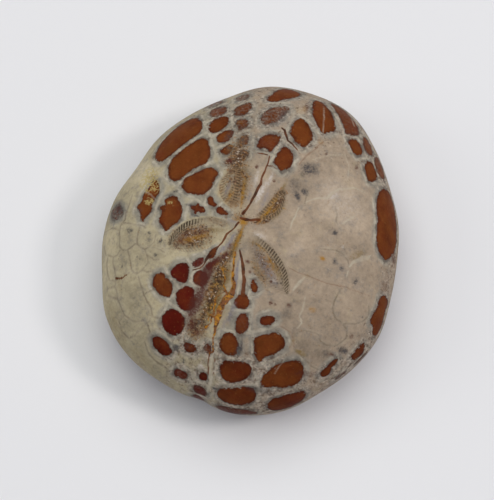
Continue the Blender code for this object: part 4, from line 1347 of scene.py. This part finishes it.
    def lines(self, board: Board, colour: bpy.types.NodeSocket) -> bpy.types.NodeSocket:
        """Lay the thin lines, the filled cracks and the furrow's crust over a colour."""
        broken = board.grain(0.0012, 3.0, 2.4) * 0.35 + 0.7
        colour = board.mix(board.attribute("pale_line") * broken * 0.85, colour, self.pale_line)
        colour = board.mix(board.attribute("red_line") * broken * 0.75, colour, self.red_line)
        curls = abs(board.grain(0.0008, 2.0, 0.3)).ease(0.36, 0.10)
        curls = curls * board.attribute("squiggles") * (board.grain(0.0009, 2.0, 2.5) * 0.7 + 1.0)
        colour = board.mix(curls.at_least(0.0).at_most(1.0) * 0.8, colour, self.squiggle)
        threads = board.attribute("threads")
        net = abs(board.grain(0.00060, 3.0, 2.52, 0.6)).ease(0.38, 0.08)
        net = net * (threads * (1.1 + board.grain(0.0007, 2.0, 2.55) * 0.5)).ease(0.1, 0.6)
        colour = board.mix(net * 0.85, colour, self.thread)
        tint = board.mix(board.grain(0.0014, 3.0, 2.58).ease(-0.3, 0.8), self.vein, self.vein_dark)
        crack = board.attribute("crack") * (1.0 + board.grain(0.0006, 3.0, 2.59) * 0.3)
        colour = board.mix(crack.ease(0.15, 0.85) * 0.93, colour, tint)
        crust = board.attribute("crust") * (1.0 + board.grain(0.0004, 3.0, 2.6) * 0.4)
        tint = board.mix(board.grain(0.0008, 4.0, 2.7, 0.65).ease(-0.15, 0.5), self.crust_red, self.crust)
        tint = board.mix(board.grain(0.00050, 3.0, 2.75, 0.6).ease(0.0, 0.6) * 0.85, tint, self.crust_dark)
        tint = board.mix(board.grain(0.00050, 3.0, 2.78, 0.6).ease(0.7, 1.4) * 0.6, tint, self.speck_pale)
        return board.mix(crust.ease(0.25, 0.8) * 0.92, colour, tint)

    def surface(self, board: Board, colour: bpy.types.NodeSocket, filled: Value) -> None:
        """Join colour, gloss and relief into the material's surface."""
        slits = self.slits(board)
        gloss = self.roughness - filled * 0.06 + board.grain(0.0006, 2.0, 2.8) * 0.03
        dull = (board.attribute("crust") + slits) * 0.3
        roughness = (gloss + dull).at_least(0.2).at_most(0.9)
        seam = abs(board.attribute("column_seam")).at_most(abs(board.attribute("row_seam")))
        cuts = seam.ease(0.12, 0.02) * board.attribute("seam_strength")
        cuts = cuts.at_least(board.attribute("suture"))
        height = (board.grain(0.0011, 3.0, 2.9) * 0.07 + board.grain(0.0003, 2.0, 3.0) * 0.03
                  - slits * 0.8 - cuts * 0.2 + board.attribute("chalk") * 0.5
                  - board.attribute("crust") * board.grain(0.0004, 3.0, 3.1) * 0.4)
        bump = board.node("ShaderNodeBump", None,
                          {"Strength": self.bump_strength, "Distance": self.bump_distance,
                           "Height": height})
        shader = board.node("ShaderNodeBsdfPrincipled", None,
                            {"Base Color": colour, "Roughness": roughness, "IOR": self.ior,
                             "Specular IOR Level": self.sheen, "Normal": bump.outputs[0]})
        board.finish(shader.outputs[0])


@dataclass(frozen=True)
class PlainFinish:
    """A plain matt finish for the floor."""

    name: str
    colour: Colour
    roughness: float = 0.9

    def build(self) -> bpy.types.Material:
        """Make the material."""
        material = bpy.data.materials.new(self.name)
        board = Board(material)
        shader = board.node("ShaderNodeBsdfPrincipled", None,
                            {"Base Color": self.colour, "Roughness": self.roughness})
        board.finish(shader.outputs[0])
        return material


# ---------------------------------------------------------------- the test's fine mesh

@dataclass
class UrchinTest:
    """The whole test: a UV sphere shaped to the form, finer along pores and cracks.

    The form is shrunk by snug, so that its relief stays inside the solid's box.  Pairs of
    numbers are the values between which a layer is eased in, in millimetres or as reach.
    """

    form: TestForm = field(default_factory=TestForm)
    plates: PlateMap = field(default_factory=PlateMap)
    finish: UrchinStone = field(default_factory=UrchinStone)
    segments: int = 320
    rings: int = 190
    dome_rings: int = 142
    ring_crowding: float = 1.3
    snug: float = 0.9996
    pore_depth: float = 0.07
    crack_depth: float = 0.03
    crust_depth: float = 0.12
    crack_softness: float = 0.12
    crust_softness: float = 0.15
    jitter_size: float = 0.8
    rubble_size: float = 0.35
    refine_margin: float = 0.25
    rim_softness: float = 0.40
    crown: tuple[float, float] = (0.14, 0.22)
    near_filling: tuple[float, float] = (-0.9, -0.3)
    rim_reach: tuple[float, float] = (0.62, 0.84)
    rim_side: tuple[float, float] = (0.0, 8.0)
    hind_place: tuple[float, float] = (8.0, 14.0)
    calm_side: tuple[float, float] = (3.0, 6.0)
    calm_place: tuple[float, float] = (-16.0, -13.0)
    front_place: tuple[float, float] = (12.0, 16.0)
    front_side: tuple[float, float] = (-7.0, -4.0)
    warm_side: tuple[float, float] = (-9.0, 3.0)
    furrow_path: tuple[tuple[float, float], ...] = (
        (-1.8, 0.4), (-1.2, -4.5), (-0.1, -8.0), (-0.4, -11.0), (0.0, -15.0), (0.3, -21.5))
    furrow_widths: tuple[float, ...] = (0.6, 0.8, 1.2, 1.2, 0.9, 1.6)
    furrow_depths: tuple[float, ...] = (0.06, 0.16, 0.30, 0.26, 0.14, 0.30)

    def build(self) -> bpy.types.Object:
        """Make the piece, with its attributes and material."""
        piece = self.add_sphere()
        self.refine(piece)
        surface = self.read_surface(piece)
        self.shape(piece, surface)
        self.dress(piece, surface)
        return piece

    def add_sphere(self) -> bpy.types.Object:
        """Add the unit sphere that the test is shaped from."""
        bpy.ops.object.select_all(action="DESELECT")
        bpy.ops.mesh.primitive_uv_sphere_add(segments=self.segments, ring_count=self.rings,
                                             radius=1.0, location=(0.0, 0.0, 0.0))
        piece = bpy.context.active_object
        piece.name = piece.data.name = "urchin_test"
        return piece

    def read_surface(self, piece: bpy.types.Object) -> Surface:
        """Angle and reach of each vertex of the unit sphere, and the form there."""
        spots = np.zeros(len(piece.data.vertices) * 3)
        piece.data.vertices.foreach_get("co", spots)
        spots = spots.reshape(-1, 3)
        angle = np.degrees(np.arctan2(spots[:, 1], spots[:, 0])) % 360.0
        flat = np.hypot(spots[:, 0], spots[:, 1])
        ring = np.arctan2(flat, spots[:, 2]) / math.pi * self.rings
        dome = (np.clip(ring, 0.0, self.dome_rings) / self.dome_rings) ** self.ring_crowding
        under = (ring - self.dome_rings) / (self.rings - self.dome_rings)
        return Surface(self.form, angle, np.where(ring <= self.dome_rings, dome, 1.0 + under))

    def refine(self, piece: bpy.types.Object) -> None:
        """Subdivide the faces along the pore rows, cracks, crust, thin lines and plate seams."""
        surface = self.read_surface(piece)
        still = np.zeros((len(surface.angle), 2))
        wanted = np.zeros(len(surface.angle), dtype=bool)
        for petal in PETALS:
            wanted |= petal.pores(surface)[2] > 0.1
        for vein in CRACKS + CRUSTS + PALE_LINES + RED_LINES + SUTURES:
            wanted |= vein.cover(surface, still, self.refine_margin) > 0.02
        chosen = [bool(wanted[list(face.vertices)].any()) for face in piece.data.polygons]
        bpy.ops.object.mode_set(mode="EDIT")
        bpy.ops.mesh.select_mode(type="FACE")
        bpy.ops.mesh.select_all(action="DESELECT")
        bpy.ops.object.mode_set(mode="OBJECT")
        piece.data.polygons.foreach_set("select", chosen)
        bpy.ops.object.mode_set(mode="EDIT")
        bpy.ops.mesh.subdivide(number_cuts=1, ngon=False)
        bpy.ops.object.mode_set(mode="OBJECT")
        piece.data.calc_loop_triangles()
        LOG.info("refined %d faces: %d triangles", sum(chosen), len(piece.data.loop_triangles))

    def furrow(self, surface: Surface) -> np.ndarray:
        """Depth of the front furrow, measured from its bent centre line."""
        deepest = np.zeros(len(surface.angle))
        for index in range(len(self.furrow_path) - 1):
            head, tail = np.array(self.furrow_path[index]), np.array(self.furrow_path[index + 1])
            run = tail - head
            part = np.clip((surface.plan - head) @ run / (run @ run), 0.0, 1.0)
            off = np.linalg.norm(surface.plan - head - part[:, None] * run, axis=1)
            width = self.furrow_widths[index] * (1 - part) + self.furrow_widths[index + 1] * part
            depth = self.furrow_depths[index] * (1 - part) + self.furrow_depths[index + 1] * part
            deepest = np.maximum(deepest, depth * np.exp(-(off / width) ** 2))
        return -deepest * (1.0 - smooth_step(surface.reach, 1.0, self.form.flank_end))

    def jitter(self, surface: Surface) -> np.ndarray:
        """Two columns of noise for uneven lines."""
        return np.stack([rock_noise(surface.position, self.jitter_size, seed) for seed in (5, 6)], -1)

    def shape(self, piece: bpy.types.Object, surface: Surface) -> None:
        """Move the vertices to the form with its petals, furrow, pores and cracks."""
        relief = self.furrow(surface)
        jitter = self.jitter(surface)
        for petal in PETALS:
            relief += petal.relief(surface)
            phase, band, strength = petal.pores(surface)
            slit = smooth_step(np.cos(2 * math.pi * phase), 0.0, 0.6)
            slit *= 1.0 - smooth_step(np.abs(band), 0.6, 0.95)
            relief -= self.pore_depth * slit * strength
        relief -= self.crack_depth * self.veins(CRACKS, surface, jitter, self.crack_softness)
        rubble = 1.0 + 0.5 * rock_noise(surface.position, self.rubble_size, 7)
        relief -= self.crust_depth * self.veins(CRUSTS, surface, jitter, self.crust_softness) * rubble
        spots = surface.position + surface.normal * relief[:, None]
        low, high = spots.min(axis=0), spots.max(axis=0)
        spots -= ((low[0] + high[0]) / 2, (low[1] + high[1]) / 2, low[2])
        spots *= self.snug
        piece.data.vertices.foreach_set("co", (spots * MM).ravel())
        piece.data.update()
        piece.data.shade_smooth()

    def dress(self, piece: bpy.types.Object, surface: Surface) -> None:
        """Write the point attributes and give the piece its material."""
        jitter = self.jitter(surface)
        plates = self.plates.fields(surface)
        layers = {
            "redness": plates.redness,
            "haze": plates.haze,
            "column_seam": plates.column_seam,
            "row_seam": plates.row_seam,
            "suture_rim": self.veins(SUTURES, surface, 0.0 * jitter, self.rim_softness),
        }
        for name, lines, softness in LINE_LAYERS:
            layers[name] = self.veins(lines, surface, jitter, softness)
        layers.update({stain.value: layer(marks, surface) for stain, marks in STAINS.items()})
        layers.update(self.pore_layers(surface))
        layers.update(self.tint_layers(surface, plates))
        for name, values in layers.items():
            attribute = piece.data.attributes.new(name, "FLOAT", "POINT")
            attribute.data.foreach_set("value", values.astype(np.float32))
        piece.data.materials.clear()
        piece.data.materials.append(self.finish.build())

    def veins(self, lines: tuple[Vein, ...], surface: Surface, jitter: np.ndarray,
              softness: float) -> np.ndarray:
        """Strongest cover of several veins at each point."""
        return np.max([line.cover(surface, jitter, softness) for line in lines], axis=0)

    def pore_layers(self, surface: Surface) -> dict[str, np.ndarray]:
        """Pore coordinates and ground tint of the petal that is nearest each point."""
        names = ("pore_phase", "pore_band", "pore_strength", "pore_warmth", "pore_ground")
        result = {name: np.zeros(len(surface.angle)) for name in names}
        best = np.zeros(len(surface.angle))
        for petal in PETALS:
            share, left = petal.local(surface)
            phase, band, strength = petal.pores(surface)
            cover = petal.fade(share) * (np.abs(band) < 1.3)
            ground = cover * np.where(left > 0.0, *petal.ground)
            here = cover > best
            own = (phase, band, strength, np.full(len(band), petal.warmth), ground)
            for name, values in zip(names, own):
                result[name][here] = values[here]
            best = np.maximum(best, cover)
        return result

    def tint_layers(self, surface: Surface, plates: PlateFields) -> dict[str, np.ndarray]:
        """Broad tints with painted shade, strengths, and the fillings kept out of the petals and crown."""
        x, y = surface.plan[:, 0], surface.plan[:, 1]
        petals = np.max([petal.inside(surface) for petal in PETALS], axis=0)
        crown = 1.0 - smooth_step(surface.reach, *self.crown)
        near_fill = smooth_step(plates.fill, *self.near_filling)
        under = 1.0 - surface.on_dome
        rim = smooth_step(surface.reach, *self.rim_reach) * smooth_step(x, *self.rim_side)
        calm = 0.6 * smooth_step(x, *self.calm_side) * smooth_step(-y, *self.calm_place)
        hind = smooth_step(y, *self.hind_place) * (1.0 - calm)
        front = smooth_step(-y, *self.front_place) * smooth_step(x, *self.front_side) * 0.8
        specks = np.maximum(rim, np.maximum(hind * 0.62, front)) * 0.8 + 0.25 * near_fill
        plain = (1.0 - petals) * (1.0 - crown)
        return {
            "fill": np.where(petals > 0.5, -1.5, plates.fill),
            # tone that differs over the stone, plus painted shade on the front margin and the lower right
            "tone_and_painted_shade": np.sum([mark.cover(surface) for mark in TONES_AND_PAINTED_SHADE], axis=0) + 0.2 * under * plates.shade,
            "warmth": smooth_step(x + 0.3 * y, *self.warm_side),
            "specks": np.clip(specks, 0.0, 1.0) * plain,
            "seam_strength": np.maximum(under, 0.35 * near_fill * plain),
            "squiggles": layer(SQUIGGLES, surface),
            "threads": layer(THREADS, surface),
            "grit": np.sum([mark.cover(surface) for mark in GRIT], axis=0),
        }


# ---------------------------------------------------------------- the studio

@dataclass(frozen=True)
class Lamp:
    """A square soft light, placed round the test by view azimuth and elevation."""

    name: str
    azimuth: float
    elevation: float
    distance: float
    size: float
    power: float
    colour: Colour = (1.0, 1.0, 1.0)


@dataclass
class Studio:
    """Floor, lights and camera."""

    view_azimuth: float = 20.0
    view_elevation: float = 75.0
    view_distance: float = 0.350
    frame_height: float = 0.0658
    aim: tuple[float, float, float] = (-0.00074, -0.00092, 0.0075)
    floor_size: float = 2.0
    floor_colour: Colour = (0.80, 0.80, 0.80)
    sky_colour: Colour = (0.74, 0.78, 1.0)
    sky_strength: float = 0.22
    sensor_width: float = 36.0
    clip: tuple[float, float] = (0.01, 10.0)
    lamps: tuple[Lamp, ...] = (
        Lamp("key", -2.0, 51.0, 0.70, 0.14, 1.2, (1.0, 0.95, 0.94)),
        Lamp("top", 90.0, 75.0, 0.70, 0.80, 3.9, (1.0, 1.0, 0.97)),
        Lamp("left", 180.0, 35.0, 0.70, 0.34, 0.72, (1.0, 1.0, 0.96)),
    )

    def direction(self, azimuth: float, elevation: float) -> Vector:
        """Unit vector to a place, azimuth measured from the view's right."""
        turn, rise = math.radians(self.view_azimuth + azimuth), math.radians(elevation)
        return Vector((math.cos(turn) * math.cos(rise), math.sin(turn) * math.cos(rise),
                       math.sin(rise)))

    def add_floor(self) -> None:
        """Lay the pale floor."""
        bpy.ops.object.select_all(action="DESELECT")
        bpy.ops.mesh.primitive_plane_add(size=self.floor_size, location=(0.0, 0.0, 0.0))
        floor = bpy.context.active_object
        floor.name = "floor"
        floor.data.materials.append(PlainFinish("floor_paper", self.floor_colour).build())

    def add_lamps(self) -> None:
        """Hang the soft lights, each aimed at the test."""
        aim = Vector(self.aim)
        for lamp in self.lamps:
            light = bpy.data.lights.new(lamp.name, "AREA")
            light.size, light.energy, light.color = lamp.size, lamp.power, lamp.colour
            body = bpy.data.objects.new(lamp.name, light)
            bpy.context.scene.collection.objects.link(body)
            towards = self.direction(lamp.azimuth, lamp.elevation)
            body.location = aim + towards * lamp.distance
            body.rotation_euler = towards.to_track_quat("Z", "Y").to_euler()

    def add_sky(self) -> None:
        """Give the room a pale even glow."""
        world = bpy.data.worlds.new("room")
        bpy.context.scene.world = world
        world.use_nodes = True
        glow = world.node_tree.nodes["Background"]
        glow.inputs["Color"].default_value = (*self.sky_colour, 1.0)
        glow.inputs["Strength"].default_value = self.sky_strength

    def add_camera(self) -> None:
        """Place the camera over the test, tilted back a little."""
        camera = bpy.data.cameras.new("camera")
        body = bpy.data.objects.new("camera", camera)
        bpy.context.scene.collection.objects.link(body)
        camera.sensor_width = self.sensor_width
        camera.lens = camera.sensor_width * self.view_distance / self.frame_height
        camera.clip_start, camera.clip_end = self.clip
        back = self.direction(-90.0, self.view_elevation)
        body.location = Vector(self.aim) + back * self.view_distance
        body.rotation_euler = back.to_track_quat("Z", "Y").to_euler()
        bpy.context.scene.camera = body

    def build(self) -> None:
        """Set up the whole studio."""
        self.add_floor()
        self.add_lamps()
        self.add_sky()
        self.add_camera()
        bpy.context.scene.view_settings.view_transform = "Standard"


def report_marks() -> None:
    """Log the names of the petals and of the lines in each layer."""
    LOG.info("petals: %s", ", ".join(petal.name for petal in PETALS))
    for name, lines, _ in LINE_LAYERS:
        LOG.info("%s: %s", name, ", ".join(line.name for line in lines))


def main() -> None:
    """Build the test and the studio in order."""
    logging.basicConfig(level=logging.INFO, format="%(name)s: %(message)s")
    report_marks()
    test = UrchinTest().build()
    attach(test, "root")
    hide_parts(NODE)
    LOG.info("%s: %d vertices, %d faces", test.name, len(test.data.vertices), len(test.data.polygons))
    Studio().build()
    LOG.info("studio: floor, lights and camera in place")


if __name__ == "__main__":
    main()
